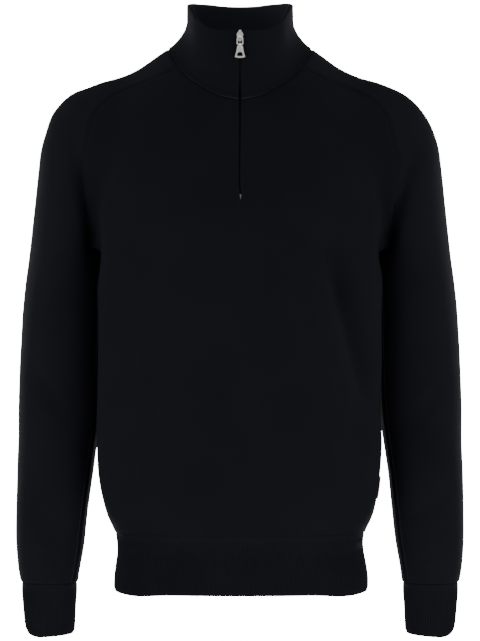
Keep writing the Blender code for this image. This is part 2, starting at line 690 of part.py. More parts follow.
def zip_strips(front, collar_grid):
    """The tapes, the closed chain and its bottom stop, behind the slit from the chest to the rim."""
    middle = front.shape[1] // 2
    line = np.concatenate([front[:, middle, 1:], collar_grid[:, 0, 1:]])
    run = np.gradient(line, axis=0)
    back = np.stack([run[:, 1], -run[:, 0]], -1) / np.linalg.norm(run, axis=1)[:, None]

    def strip(name, span, x_range, depth, thick, look):
        low, high = np.array(span) * MM
        z = np.array([low, *[h for h in line[:, 1] if low + 2 * MM < h < high - 2 * MM], high])
        y, back_y, back_z = (np.interp(z, line[:, 1], v) for v in (line[:, 0], *back.T))
        near, far = x_range
        corners = ((near, depth), (far, depth), (far, depth + thick), (near, depth + thick))
        sections = [np.stack([np.full_like(z, x), y + back_y * d, z + back_z * d], -1) for x, d in corners]
        add_object(name, *loft(np.stack(sections, 1)), look, sharp=30)

    weave = (0.008, 0.009, 0.012)
    edges = (TAPE_EDGE, TAPE_OUTER)
    strip("zip_tape_left", TAPE_SPAN, edges, TAPE_DEPTH, TAPE_THICK, finish("zip_tape_left_weave", weave, 0.8))
    edges = (-TAPE_OUTER, -TAPE_EDGE)
    strip("zip_tape_right", TAPE_SPAN, edges, TAPE_DEPTH, TAPE_THICK, finish("zip_tape_right_weave", weave, 0.8))
    sides = (-CHAIN_HALF, CHAIN_HALF)
    strip("zip_chain", CHAIN_SPAN, sides, TAPE_DEPTH, CHAIN_THICK, steel("zip_chain"))
    strip("zip_stop", STOP_SPAN, sides, TAPE_DEPTH - 0.1 * MM, CHAIN_THICK + 0.2 * MM, steel("zip_stop"))


def prism(outline, low, high, along):
    """A flat outline drawn out along an axis: `along` 0 takes (y, z) points, 1 takes (x, z) points."""
    ends = [np.insert(np.array(outline, float), along, at, axis=1) for at in (low, high)]
    return loft(np.stack(ends) * MM)


def rod(radius, half_length, z, sides=16):
    """A round rod along x."""
    turn = np.arange(sides) * 2 * np.pi / sides
    outline = np.stack([radius * np.cos(turn), z + radius * np.sin(turn)], -1) / MM
    return prism(outline, -half_length / MM, half_length / MM, 0)


def combine(main, others):
    """Joins or cuts the main object by hidden helpers, each given as (operation, name, shape)."""
    for operation, name, shape in others:
        helper = add_object(f"{main.name}_{name}", *shape, main.data.materials[0])
        helper.hide_render = True
        helper.display_type = "WIRE"
        helper.location, helper.rotation_euler = main.location, main.rotation_euler
        cut = main.modifiers.new(name, "BOOLEAN")
        cut.operation, cut.object, cut.solver = operation, helper, "EXACT"


def place(piece, hinge, lean):
    piece.location = hinge
    piece.rotation_euler = (-lean, 0, 0)


def zip_pull(collar_grid):
    """The slider at the rim, the link that hangs on it and the tab on the link, all lying down the
    collar. Each is drawn round its own hinge, with the cloth's face HINGE_OUT behind it."""
    foot, rim = collar_grid[0, 0], collar_grid[-1, 0]
    lean = np.arctan2(rim[1] - foot[1], rim[2] - foot[2])
    share = (HINGE_Z - foot[2]) / (rim[2] - foot[2])
    out = np.array([0, -np.cos(lean), np.sin(lean)])
    down = np.array([0, -np.sin(lean), -np.cos(lean)])
    hinge = foot + (rim - foot) * share
    hinge = hinge * (0, 1, 1) + out * HINGE_OUT
    face = HINGE_OUT / MM

    plate = SLIDER_OUTLINE + [(-x, z) for x, z in SLIDER_OUTLINE[::-1]]
    slider = add_object("zip_slider", *prism(plate, face - 1.7, face - 0.3, 1), steel("zip_slider"), sharp=30)
    place(slider, hinge, lean)
    combine(slider, [
        ("UNION", "bridge", prism(BRIDGE_OUTLINE, -1.2, 1.2, 0)),
        ("UNION", "neck", prism([(face - 0.5, 1.2), (face + 4.6, 1.2), (face + 4.6, 5.2), (face - 0.5, 5.2)], -0.6, 0.6, 0)),
        ("UNION", "back", prism([(-3.4, -6), (3.4, -6), (3.4, 4), (2, 5.6), (-2, 5.6), (-3.4, 4)], face + 4.4, face + 5.5, 1)),
        ("DIFFERENCE", "eye", rod(EYE, 3 * MM, 0)),
    ])

    bend = np.radians([0, 30, 60, 90])
    corner = LINK_CORNER * np.stack([np.cos(bend), np.sin(bend)], -1)
    half, length = LINK_HALF - LINK_CORNER, LINK_LENGTH
    path = np.concatenate([
        corner * (1, 1) + (half, -LINK_CORNER),
        corner[::-1] * (-1, 1) + (-half, -LINK_CORNER),
        corner * (-1, -1) + (-half, LINK_CORNER - length),
        corner[::-1] * (1, -1) + (half, LINK_CORNER - length),
    ])
    run = np.roll(path, -1, 0) - np.roll(path, 1, 0)
    side = np.stack([run[:, 1], -run[:, 0]], -1) / np.linalg.norm(run, axis=1)[:, None]
    upright = np.abs(run[:, 1]) / np.linalg.norm(run, axis=1)
    wide = PIN + (LINK_SIDE - PIN) * ease(0.5, 1, upright)
    turn = np.radians(np.arange(22.5, 360, 45))
    across = path[:, None] + side[:, None] * (wide[:, None] * np.cos(turn))[..., None]
    sections = np.insert(across, 1, PIN * np.sin(turn), axis=2)
    link = add_object("pull_link", *loft(sections, closed=True), steel("pull_link"), sharp=60)
    place(link, hinge, lean)

    edge = TAB_OUTLINE + [(-x, z) for x, z in TAB_OUTLINE[::-1]]
    tab = add_object("pull_tab", *prism(edge, -0.6, 0.6, 1), steel("pull_tab"), sharp=30)
    place(tab, hinge + down * LINK_LENGTH, lean)
    window = [(2.4, -10.1), (3.7, -14.3), (-3.7, -14.3), (-2.4, -10.1)]
    combine(tab, [
        ("UNION", "barrel", rod(EYE + 0.7 * MM, 1.6 * MM, 0)),
        ("DIFFERENCE", "eye", rod(EYE, 3 * MM, 0)),
        ("DIFFERENCE", "window", prism(window, -2, 2, 1)),
    ])


# ---------------------------------------------------------------- the garment


def build():
    front_seam, back_seam = armhole_seams()
    side = side_seam()
    rows = SIDE_ROWS + ARMHOLE_ROWS
    front_neck = neck_seam(neck_shares(0, FRONT_JOIN, FRONT_HALF, FACING))
    back_neck = neck_seam(neck_shares(1, BACK_JOIN, BACK_HALF))
    stops = [BAND_SEAM_Z, UNDERARM_Z, SLIT_END_Z, front_neck[0, 2]]
    heights = np.interp(np.arange(rows + 1), [0, SIDE_ROWS, SIDE_ROWS + SLIT_ROWS, rows], stops)
    seam = np.concatenate([side, front_seam[1:]])
    front = panel("front_panel", half_panel(seam, -1, FRONT_HALF, front_neck, heights), SIDE_ROWS + SLIT_ROWS)
    stops = [BAND_SEAM_Z, UNDERARM_Z, back_neck[0, 2]]
    heights = np.interp(np.arange(rows + 1), [0, SIDE_ROWS, rows], stops)
    seam = np.concatenate([side, back_seam[1:]])
    panel("back_panel", half_panel(seam, 1, BACK_HALF, back_neck, heights))
    sleeve_grid = sleeve_points()
    sleeve_wall("sleeve_left", sleeve_grid)
    sleeve_wall("sleeve_right", mirrored(sleeve_grid))
    collar_grid = collar()
    hem_rib()
    cuffs()
    side_tab(front)
    zip_strips(front, collar_grid)
    zip_pull(collar_grid)


for old in list(bpy.data.objects):
    bpy.data.objects.remove(old)
build()
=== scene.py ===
"""The looks of a quarter-zip pullover in very dark navy fine knit, filled out as when it is worn.

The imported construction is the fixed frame. Every cloth piece is made again here on the same form,
with many more points, and lies in the space that its solid holds. Metres, +Z up, -Y is the front.
"""

import json

import bmesh
import bpy
import numpy as np
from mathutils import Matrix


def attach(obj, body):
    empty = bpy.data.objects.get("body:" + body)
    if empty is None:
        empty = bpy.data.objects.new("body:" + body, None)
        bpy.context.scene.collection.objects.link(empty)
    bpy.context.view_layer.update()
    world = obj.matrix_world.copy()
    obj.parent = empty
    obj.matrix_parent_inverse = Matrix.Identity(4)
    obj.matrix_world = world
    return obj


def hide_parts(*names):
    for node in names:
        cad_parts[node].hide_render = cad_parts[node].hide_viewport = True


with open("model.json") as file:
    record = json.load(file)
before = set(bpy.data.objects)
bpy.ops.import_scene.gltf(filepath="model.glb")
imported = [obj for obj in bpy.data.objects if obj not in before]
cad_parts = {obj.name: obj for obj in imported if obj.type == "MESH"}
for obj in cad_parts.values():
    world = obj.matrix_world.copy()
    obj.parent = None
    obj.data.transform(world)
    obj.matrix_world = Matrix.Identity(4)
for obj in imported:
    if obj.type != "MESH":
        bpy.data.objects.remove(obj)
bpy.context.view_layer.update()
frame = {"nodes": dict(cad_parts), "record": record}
MM = 0.001


# ---- Front panel
# The front is one piece of plain jersey knit on a fine gauge, in a merino yarn dyed almost black.
# It is shaped on the machine, slit down from the neck for the zip, and linked to its neighbours.

# The trunk by height: z, half width, y of the widest point, depth before it, depth behind it (mm)
TRUNK = [
    (-700, 158, -12, 100, 116),
    (-613, 154.5, -12, 101, 115),
    (-594, 158.3, -13, 105, 117),
    (-575, 167, -15, 110, 122),
    (-550, 173.3, -18, 112, 127),
    (-520, 176.8, -20, 113, 131),
    (-480, 179, -22, 112, 132),
    (-420, 180, -22, 111, 130),
    (-340, 179, -22, 112, 133),
    (-246, 180, -21, 113, 138),
    (-180, 179, -16, 114, 138),
    (-120, 174, -10, 109, 130),
    (-60, 166, -4, 99, 118),
    (0, 150, 0, 88, 104),
    (60, 140, 0, 80, 95),
]
TRUNK_SQUARENESS = (2.35, 2.05)
# The sleeve by height: z, centre x, centre y, half width, half depth (mm)
SLEEVE = [
    (-740, 240.8, -14, 30.6, 28),
    (-664, 241, -12, 35, 31.6),
    (-645, 241.8, -9, 38.6, 37.6),
    (-613, 240.8, -3, 43, 43),
    (-570, 238.9, 6, 45.5, 47),
    (-520, 236, 16, 47.8, 52),
    (-480, 233, 24, 50, 55),
    (-440, 230.2, 29, 53.2, 58),
    (-400, 229, 32, 53.4, 59),
    (-340, 227.7, 34, 52.2, 61),
    (-280, 224.8, 33, 49.4, 62),
    (-246, 222, 31, 47.6, 63),
    (-190, 210.7, 24, 52.1, 66),
    (-120, 197.5, 15, 57.3, 66),
    (-60, 184, 8, 62, 64),
    (60, 170, 4, 70, 60),
]
SLEEVE_SQUARENESS = 2.1
# The line of the shoulders: x, ridge z, ridge y, drop 60 mm off the ridge (mm)
SHOULDER = [
    (0, 40, 2, 34),
    (60, 32, 3, 34),
    (89, 18, 4, 36),
    (128, -7.6, 5, 40),
    (150, -18.3, 6, 44),
    (179, -27, 8, 48),
    (206, -38, 10, 50),
    (250, -60, 12, 50),
    (300, -88, 12, 50),
]
SHOULDER_ROUNDING = 46 * MM
# How softly sleeve and trunk run together: z, rounding (mm)
ARMHOLE_ROUNDING = [
    (-300, 3),
    (-246, 4),
    (-225, 6),
    (-200, 12),
    (-165, 26),
    (-130, 42),
    (-90, 56),
    (0, 60),
]
# Large folds: x and z of the start and the end, y on that side, half width, height (mm)
FOLDS = [
    (82, -236, 124, -480, -1, 20, 7),
    (112, -240, 167, -440, -1, 16, -13),
    (-114, -285, -100, -530, -1, 34, -4.5),
    (-150, -170, -60, -190, -1, 40, 3),
    (212, -150, 262, -330, -1, 24, 5),
    (-212, -170, -258, -330, -1, 24, 5),
    (262, -400, 205, -470, -1, 22, -4),
    (-262, -380, -205, -460, -1, 22, -4),
    (265, -540, 212, -580, -1, 16, -3),
    (-265, -560, -212, -600, -1, 16, -3),
    (150, -240, 60, -330, 1, 40, -4),
    (-150, -230, -70, -310, 1, 40, -4),
    (30, -470, 120, -560, 1, 34, 4),
    (-110, -430, -60, -570, 1, 34, 4),
    (258, -330, 205, -420, 1, 24, -4),
    (-258, -340, -205, -430, 1, 24, -4),
    (262, -500, 215, -560, 1, 20, 3.5),
    (-262, -490, -215, -560, 1, 20, 3.5),
]
# Small creases, in the same columns
CREASES = [
    (95, -250, 138, -460, -1, 6, 1.6),
    (177, -258, 215, -130, -1, 9, -9),
    (-181, -258, -203, -120, -1, 9, -9),
    (-113, -320, -108, -510, -1, 9, -1.8),
    (-95, 15, -200, -38, -1, 24, 0.6),
    (-95, 15, -200, -38, 1, 24, 0.6),
    (-200, -40, -240, -82, -1, 22, 4.8),
    (-200, -40, -240, -82, 1, 22, 4.8),
    (-178, -440, -178, -540, -1, 22, 2),
    (-178, -440, -178, -540, 1, 22, 2),
    (-168, -236, -128, -262, -1, 7, 1.2),
    (168, -238, 140, -256, -1, 7, 1.2),
    (-60, -560, -20, -572, -1, 6, 0.7),
    (70, -556, 20, -568, -1, 6, 0.7),
    (200, -200, 246, -262, -1, 8, 1.6),
    (-200, -210, -246, -268, -1, 8, 1.6),
    (206, -236, 252, -310, -1, 8, 1.4),
    (-206, -246, -250, -316, -1, 8, 1.4),
    (262, -384, 214, -436, -1, 7, 1.5),
    (-262, -370, -214, -424, -1, 7, 1.5),
    (264, -432, 218, -476, -1, 7, 1.2),
    (-264, -420, -218, -470, -1, 7, 1.2),
    (262, -600, 216, -622, -1, 6, 1.2),
    (-262, -604, -216, -626, -1, 6, 1.2),
    (256, -626, 222, -640, -1, 5, 1.0),
    (-256, -628, -222, -642, -1, 5, 1.0),
    (256, -350, 206, -400, 1, 8, 1.6),
    (-256, -344, -206, -398, 1, 8, 1.6),
    (262, -540, 216, -580, 1, 7, 1.4),
    (-262, -536, -216, -578, 1, 7, 1.4),
    (40, -500, 110, -560, 1, 8, 1.4),
    (-120, -470, -70, -560, 1, 8, 1.4),
]
SADDLE = [  # sections of the sleeve's top: centre x, y, z (mm), tilt, front and back seam (degrees)
    (220.8, 31, -246, 0, -60, 300),
    (217.5, 29, -237, 3, -36, 265),
    (214, 27, -226, 6, -33, 257),
    (208, 23, -205, 12, -20, 234),
    (201, 19, -184, 19, -8, 210),
    (193, 15, -163, 27, 5, 192),
    (184, 12, -143, 36, 16, 177),
    (173, 10, -124, 46, 26, 163),
    (160, 8, -107, 57, 42, 147),
    (146, 7, -92, 67, 51, 136),
    (131, 6, -79, 75, 50, 134),
    (115, 6, -66, 81, 41, 139),
    (99, 6, -52, 84, 30, 147),
]
SIDE_SEAM = [(-594, -28), (-540, -26), (-400, -12), (-246, 8)]  # z, y (mm)
COLLAR = [  # share of the way round from centre front; x, y, z on the neck seam and on the rim (mm)
    (0.00, 0, -94, -51.6, 0, -84, 34.1),
    (0.10, 26, -91, -46, 24, -82.5, 33.5),
    (0.17, 40, -86, -38.5, 37, -77, 36),
    (0.24, 52.5, -78, -32, 46.8, -68, 42),
    (0.31, 63, -66, -25.5, 55.4, -56, 51),
    (0.38, 73, -50, -15, 61.6, -40, 62),
    (0.45, 80.6, -33, -2.6, 65.8, -22, 69.8),
    (0.52, 86, -15, 8.5, 67.3, -5, 73),
    (0.59, 89, 4, 16, 66.8, 12, 75),
    (0.67, 86, 24, 17.5, 62, 29, 77.6),
    (0.76, 76, 44, 15, 50.6, 44, 78.3),
    (0.85, 58, 60, 9, 36, 54, 78.2),
    (0.93, 34, 70, 4, 19, 59, 76.6),
    (1.00, 0, 74, 2, 0, 60, 76.1),
]
FRONT_JOIN, BACK_JOIN = 0.385, 0.765  # where the saddle's seams meet the neck seam
SLIT = [  # z, width, how far its middle is off to the left (mm)
    (-185, 0.6, 0.6),
    (-181, 1.8, 0.7),
    (-172, 1.8, 0.7),
    (-167, 1.5, 0),
    (-160, 1.4, -0.4),
    (-120, 1.5, -0.3),
    (-76, 1.9, 0),
    (-60, 2.8, 0),
    (-46, 2.8, 0),
    (-32, 1.3, 0),
    (0, 0.9, 0),
    (80, 1.3, 0),
]
UNDERARM_Z, BAND_SEAM_Z, SLIT_END_Z = -246 * MM, -594 * MM, -181.5 * MM
SIDE_ROWS, ARMHOLE_ROWS, SLIT_ROWS = 12, 13, 5
WALL = 1.9 * MM
SEAM_DIP, SEAM_REACH = 1.4 * MM, 2.5 * MM  # how deep and how wide a linked seam pulls the cloth in
SEAM_RIDGE = (5.5 * MM, 2.4 * MM, 0.35 * MM)  # the allowance under the cloth: place, half width, height
PLACKET = [  # beside the zip, the row of stitches and the folded edge: place, half width, depth
    (6.5 * MM, 0.8 * MM, 0.6 * MM),
    (4 * MM, 1.3 * MM, -0.3 * MM),
]
PLACKET_FOOT = (-186 * MM, -180 * MM)  # the heights between which the placket begins
UNEVEN, UNEVEN_SIZE = 0.35 * MM, 26 * MM  # how high and how wide the cloth's slow unevenness is
HOLD_REACH = 30 * MM  # how far a band or the collar keeps folds away
EDGE_ROLL = 1.7 * MM  # radius of a folded edge
EDGE_STEPS = np.array([0, 0.35, 0.8, 1.5, 2.6, 4.2, 6.4]) * MM  # points near a seam or an edge

# The yarn: linear colours of a stitch's lit top and of its hollows, which are painted darker as shade
YARN, YARN_SHADED = (0.0058, 0.0061, 0.0086), (0.0029, 0.0031, 0.0045)
STITCH = (1.5 * MM, 1.15 * MM)  # one stitch across and along


def through(rows, at):
    """Smooth curve through a table's rows, (place, value, value...): cubic between rows, with the
    slope at each row the mean of its two sides' slopes, weighed by length."""
    rows = np.asarray(rows, float)
    place, values = rows[:, 0], rows[:, 1:]
    at = np.asarray(at, float)
    step = np.diff(place)
    slope = np.diff(values, axis=0) / step[:, None]
    share = (step[1:] / (step[1:] + step[:-1]))[:, None]
    tangent = np.concatenate([slope[:1], slope[:-1] * share + slope[1:] * (1 - share), slope[-1:]])
    i = np.clip(np.searchsorted(place, at, side="right") - 1, 0, len(place) - 2)
    t = np.clip((at - place[i]) / step[i], 0, 1)[..., None]
    h = step[i][..., None]
    start = (1 + 2 * t) * (1 - t) ** 2 * values[i] + t * (1 - t) ** 2 * h * tangent[i]
    end = t * t * (3 - 2 * t) * values[i + 1] + t * t * (t - 1) * h * tangent[i + 1]
    return start + end


def ease(low, high, at):
    """Nought below low, one above high, and 3t^2 - 2t^3 between."""
    t = np.clip((at - low) / (high - low), 0, 1)
    return t * t * (3 - 2 * t)


def soft_min(a, b, rounding):
    """The smaller of two distances, with a parabola in place of the corner between them."""
    h = np.clip(0.5 + 0.5 * (b - a) / rounding, 0, 1)
    return b + (a - b) * h - rounding * h * (1 - h)


def oval(x, y, half_width, depth, squareness):
    """Distance outside the superellipse |x/a|^n + |y/b|^n = 1, measured towards its centre."""
    r = ((np.abs(x) / half_width) ** squareness + (np.abs(y) / depth) ** squareness) ** (1 / squareness)
    return np.hypot(x, y) * (1 - 1 / np.maximum(r, 1e-6))


def shell(p, piece):
    """Distance outside the garment: an oval trunk and oval sleeves, run together above the
    underarms, parted below them, and capped by the line of the shoulders."""
    half_width, middle, before, behind = np.moveaxis(through(TRUNK, p[..., 2] / MM) * MM, -1, 0)
    y, (front, back) = p[..., 1] - middle, TRUNK_SQUARENESS
    ahead = oval(p[..., 0], y, half_width, before, front)
    body = np.where(y < 0, ahead, oval(p[..., 0], y, half_width, behind, back))
    x, y, half_width, half_depth = np.moveaxis(through(SLEEVE, p[..., 2] / MM) * MM, -1, 0)
    arms = oval(np.abs(p[..., 0]) - x, p[..., 1] - y, half_width, half_depth, SLEEVE_SQUARENESS)
    apart = 60 * MM * ease(8 * MM, -16 * MM, p[..., 2] - UNDERARM_Z)
    body, arms = body + apart * (piece == "sleeve"), arms + apart * (piece == "body")
    sides = soft_min(body, arms, through(ARMHOLE_ROUNDING, p[..., 2] / MM)[..., 0] * MM)
    ridge, middle, drop = np.moveaxis(through(SHOULDER, np.abs(p[..., 0]) / MM) * MM, -1, 0)
    off = (p[..., 1] - middle) / (60 * MM)
    top = (p[..., 2] - ridge + drop * 2.4 * (np.hypot(1, off) - 1)) * 0.8
    return -soft_min(-sides, -top, SHOULDER_ROUNDING)


def normals_at(p, piece):
    """The way out of the cloth: the gradient of shell(), by differences."""
    rise = [shell(p + d, piece) - shell(p - d, piece) for d in np.eye(3) * 0.2 * MM]
    n = np.stack(rise, -1)
    return n / np.linalg.norm(n, axis=-1, keepdims=True)


def settle(p, piece, level=0.0, rounds=7):
    """Points moved on to the surface by Newton's steps along the normal, level where `level` is 1."""
    for _ in range(rounds):
        n = normals_at(p, piece)
        n = np.stack([n[..., 0], n[..., 1], n[..., 2] * (1 - level)], -1)
        n /= np.linalg.norm(n, axis=-1, keepdims=True)
        step = 0.2 * MM
        growth = (shell(p + n * step, piece) - shell(p - n * step, piece)) / (2 * step)
        p = p - (shell(p, piece) / np.maximum(growth, 0.3))[..., None] * n
    return p


def cast(origin, direction, piece, rounds=60):
    """Where rays from inside come out through the surface, by steps of 0.85 of the distance left."""
    reach = np.full(direction.shape[:-1], 8 * MM)
    for _ in range(rounds):
        reach = reach - 0.85 * shell(origin + reach[..., None] * direction, piece)
    return origin + reach[..., None] * direction


def bells(p, table):
    """The sum of a table's folds: exp(-(d/w)^2) across each line, faded out past its two ends."""
    lift = np.zeros(p.shape[:-1])
    for x0, z0, x1, z1, side, half_width, height in table:
        start, run = np.array([x0, z0]) * MM, np.array([x1 - x0, z1 - z0]) * MM
        at = p[..., [0, 2]] - start
        share = at @ run / (run @ run)
        across = (at[..., 1] * run[0] - at[..., 0] * run[1]) / np.hypot(*run)
        ends = ease(-0.25, 0.3, share) * (1 - ease(0.7, 1.25, share))
        side_of = ease(-30 * MM, 40 * MM, side * p[..., 1])
        lift += height * MM * np.exp(-((across / (half_width * MM)) ** 2)) * ends * side_of
    return lift


def wander(p, size, seed):
    """A slow, smooth unevenness between about -1 and 1: the mean of sine waves in seeded directions."""
    rng = np.random.default_rng(seed)
    waves = rng.normal(size=(9, 3)) / size
    phase = rng.uniform(0, 2 * np.pi, 9)
    return np.sin(p @ waves.T + phase).mean(-1) * 1.8


def spaced(length, count):
    """Distances along a line of the given length, close together at both ends and even between."""
    tail = length - EDGE_STEPS[::-1]
    return np.concatenate([EDGE_STEPS, np.linspace(EDGE_STEPS[-1], tail[0], count)[1:-1], tail])


def run_of(lines):
    """How far along its line each point lies, for points in rows: lengths from the first row's."""
    steps = np.linalg.norm(np.diff(lines, axis=0), axis=-1)
    return np.concatenate([np.zeros_like(steps[:1]), np.cumsum(steps, 0)])


def along(line, distances):
    """Points of a polyline at the given distances along it."""
    return np.stack([np.interp(distances, run_of(line), line[:, k]) for k in range(3)], -1)


def length_of(line):
    return run_of(line)[-1]


def neck_line(start, end):
    """The neck seam between two shares of the way round, as a fine polyline on the surface."""
    return settle(through(COLLAR, np.linspace(start, end, 160))[:, :3] * MM, "all")


def directions(tilt, turn):
    """Ways out in a section of the sleeve that leans by `tilt`: 0 is ahead, 90 outwards or up."""
    tilt, turn = np.radians(tilt), np.radians(turn)
    return np.stack([np.sin(turn) * np.cos(tilt), -np.cos(turn), np.sin(turn) * np.sin(tilt)], -1)


def seam_tables():
    """The front and the back seam by row: up the side, and on from there up the armhole."""
    z = np.linspace(BAND_SEAM_Z, UNDERARM_Z, SIDE_ROWS + 1)
    start = np.stack([np.zeros_like(z), through(SIDE_SEAM, z / MM)[:, 0] * MM, z], -1)
    side = cast(start, np.tile([1.0, 0, 0], (len(z), 1)), "body")
    table = np.array(SADDLE)
    armholes = cast(table[:, None, :3] * MM, directions(table[:, 3:4], table[:, 4:]), "all")
    armholes[0] = side[-1]
    ends = settle(through(COLLAR, [FRONT_JOIN, BACK_JOIN])[:, :3] * MM, "all")
    armholes = np.concatenate([armholes, ends[None]]).transpose(1, 0, 2)
    rows = np.arange(SIDE_ROWS + ARMHOLE_ROWS + 1)[:, None]
    return [np.hstack([rows, np.concatenate([side, armhole[1:]])]) for armhole in armholes]


def on_seam(table, row):
    """Points of a seam by row. Past its first rise from the underarm it lies on the joined surface."""
    line = through(table, row)
    high = row > SIDE_ROWS + 1
    line[high] = settle(line[high], "all")
    return line


FRONT_SEAM, BACK_SEAM = seam_tables()


def half_panel(seam, side, count, heights, rows, neck):
    """The left half of the front (side -1) or back (side 1), from the middle to the seam. A row is
    a quarter oval, eased over near the top towards the neck seam, settled on the surface, and then
    shared out by length."""
    ends = on_seam(seam, rows)
    base = np.stack([np.zeros(len(rows)), ends[:, 1], ends[:, 2]], -1)
    start = np.stack([np.zeros(len(rows)), ends[:, 1], heights], -1)
    middle = cast(start, np.tile([0.0, side, 0], (len(rows), 1)), "body")
    turn = np.linspace(0, np.pi / 2, 61)[:, None]
    fine = base[:, None] + (ends - base)[:, None] * np.sin(turn) + (middle - base)[:, None] * np.cos(turn)
    top = along(neck, np.linspace(0, length_of(neck), 61))
    easing = ease(0, 1, (rows - SIDE_ROWS) / ARMHOLE_ROWS)[:, None]
    fine = settle(fine + easing[..., None] * (top - fine[-1]), "body", 1 - easing)
    fine[:, -1] = ends
    grid = np.array([along(line, spaced(length_of(line), count)) for line in fine])
    grid = settle(grid, "body", 1 - easing)
    grid[:, -1], grid[-1, :] = ends, along(neck, spaced(length_of(neck), count))
    grid[:, 0, 0] = 0
    return grid


def row_places(first, last, inner):
    """Places along the rows of a coarse grid, close together at both ends."""
    ends = np.array([0, 0.02, 0.05, 0.1, 0.18, 0.3])
    return np.concatenate([first + ends, np.linspace(first + 0.4, last - 0.4, inner), last - ends[::-1]])


def distance_to(grid, line):
    """How far each point of a grid is from the nearest point of a polyline, up to its fine spacing."""
    flat, out = grid.reshape(-1, 3), np.empty(grid.shape[0] * grid.shape[1])
    for k in range(0, len(flat), 2000):
        out[k : k + 2000] = np.linalg.norm(flat[k : k + 2000, None] - line, axis=-1).min(-1)
    return out.reshape(grid.shape[:2])


def both_sides(*lines):
    """Lines of the left side with their mirror images."""
    return [line * (flip, 1, 1) for line in lines for flip in (1, -1)]


def bell(at, place, half_width, height):
    """A smooth bump or dip of the given height: exp(-((at - place)/w)^2)."""
    return height * np.exp(-(((at - place) / half_width) ** 2))


def finished(grid, piece, seams, still):
    """A piece's points with its folds, creases and unevenness, pulled in along its seams. The folds
    die out towards the `still` lines, where the cloth is held by a band or the collar."""
    normals = normals_at(grid, piece)
    lift = bells(grid, FOLDS) + bells(grid, CREASES) + UNEVEN * wander(grid, UNEVEN_SIZE, 4)
    held = np.min([distance_to(grid, line) for line in still], axis=0)
    lift *= ease(0, HOLD_REACH, held)
    away = np.min([distance_to(grid, line) for line in seams], axis=0)
    lift += bell(away, *SEAM_RIDGE) - bell(away, 0, SEAM_REACH, SEAM_DIP)
    return grid + normals * lift[..., None]


def placket_groove(p):
    """How far the cloth beside the zip sinks in: a bell under the row of stitches, less one that
    stands proud between it and the folded edge."""
    groove = sum(bell(np.abs(p[..., 0]), *row) for row in PLACKET)
    return groove * ease(*PLACKET_FOOT, p[..., 2]) * (p[..., 1] < 0)


def cloth_map(grid, middle):
    """A map of the cloth in metres: across from the middle column, and up along the columns."""
    across = run_of(grid.swapaxes(0, 1)).T
    across = across - across[:, middle : middle + 1]
    steps = np.linalg.norm(np.diff(grid, axis=0), axis=-1).mean(1)
    up = np.concatenate([[0], np.cumsum(steps)])
    return np.stack([across, np.repeat(up[:, None], grid.shape[1], 1)], -1)


def mesh_piece(name, points, faces, cloth=None, body="root", smooth=True):
    """A mesh object from points and faces, with its map of the cloth, that rides on a body."""
    mesh = bpy.data.meshes.new(name)
    mesh.from_pydata(points.reshape(-1, 3), [], faces)
    if cloth is not None:
        corner = np.empty(len(mesh.loops), int)
        mesh.loops.foreach_get("vertex_index", corner)
        layer = mesh.uv_layers.new(name="cloth")
        layer.data.foreach_set("uv", cloth.reshape(-1, 2)[corner].ravel())
    if smooth:
        mesh.shade_smooth()
    mesh.validate()
    made = bpy.data.objects.new(name, mesh)
    bpy.context.scene.collection.objects.link(made)
    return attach(made, body)


def quads(index):
    """Quads between the rows and columns of an index grid, facing whoever sees the rows run up and
    the columns run to the right. A quad whose corners meet becomes a triangle."""
    corners = np.stack([index[:-1, :-1], index[:-1, 1:], index[1:, 1:], index[1:, :-1]], -1)
    corners = corners.reshape(-1, 4)
    same = corners == np.roll(corners, 1, axis=1)
    whole = ~same.any(1)
    faces = corners[whole].tolist()
    for corner in range(4):
        faces += np.delete(corners[same[:, corner] & (same.sum(1) == 1)], corner, axis=1).tolist()
    return faces


def index_grid(points, closed=""):
    """The numbers of a grid's points. Where its columns, rows or both are closed, the first is
    there again at the end."""
    index = np.arange(points[..., 0].size).reshape(points.shape[:2])
    if closed in ("columns", "both"):
        index = np.concatenate([index, index[:, :1]], 1)
    return np.concatenate([index, index[:1]]) if closed in ("rows", "both") else index


def thicken(piece, thickness):
    """Gives a sheet its wall, inwards."""
    wall = piece.modifiers.new("wall", "SOLIDIFY")
    wall.thickness, wall.offset = thickness, -1


def plain(value):
    """A socket's value: a colour gets its fourth number, and a number stays as it is."""
    return (*value, 1) if isinstance(value, tuple) else value


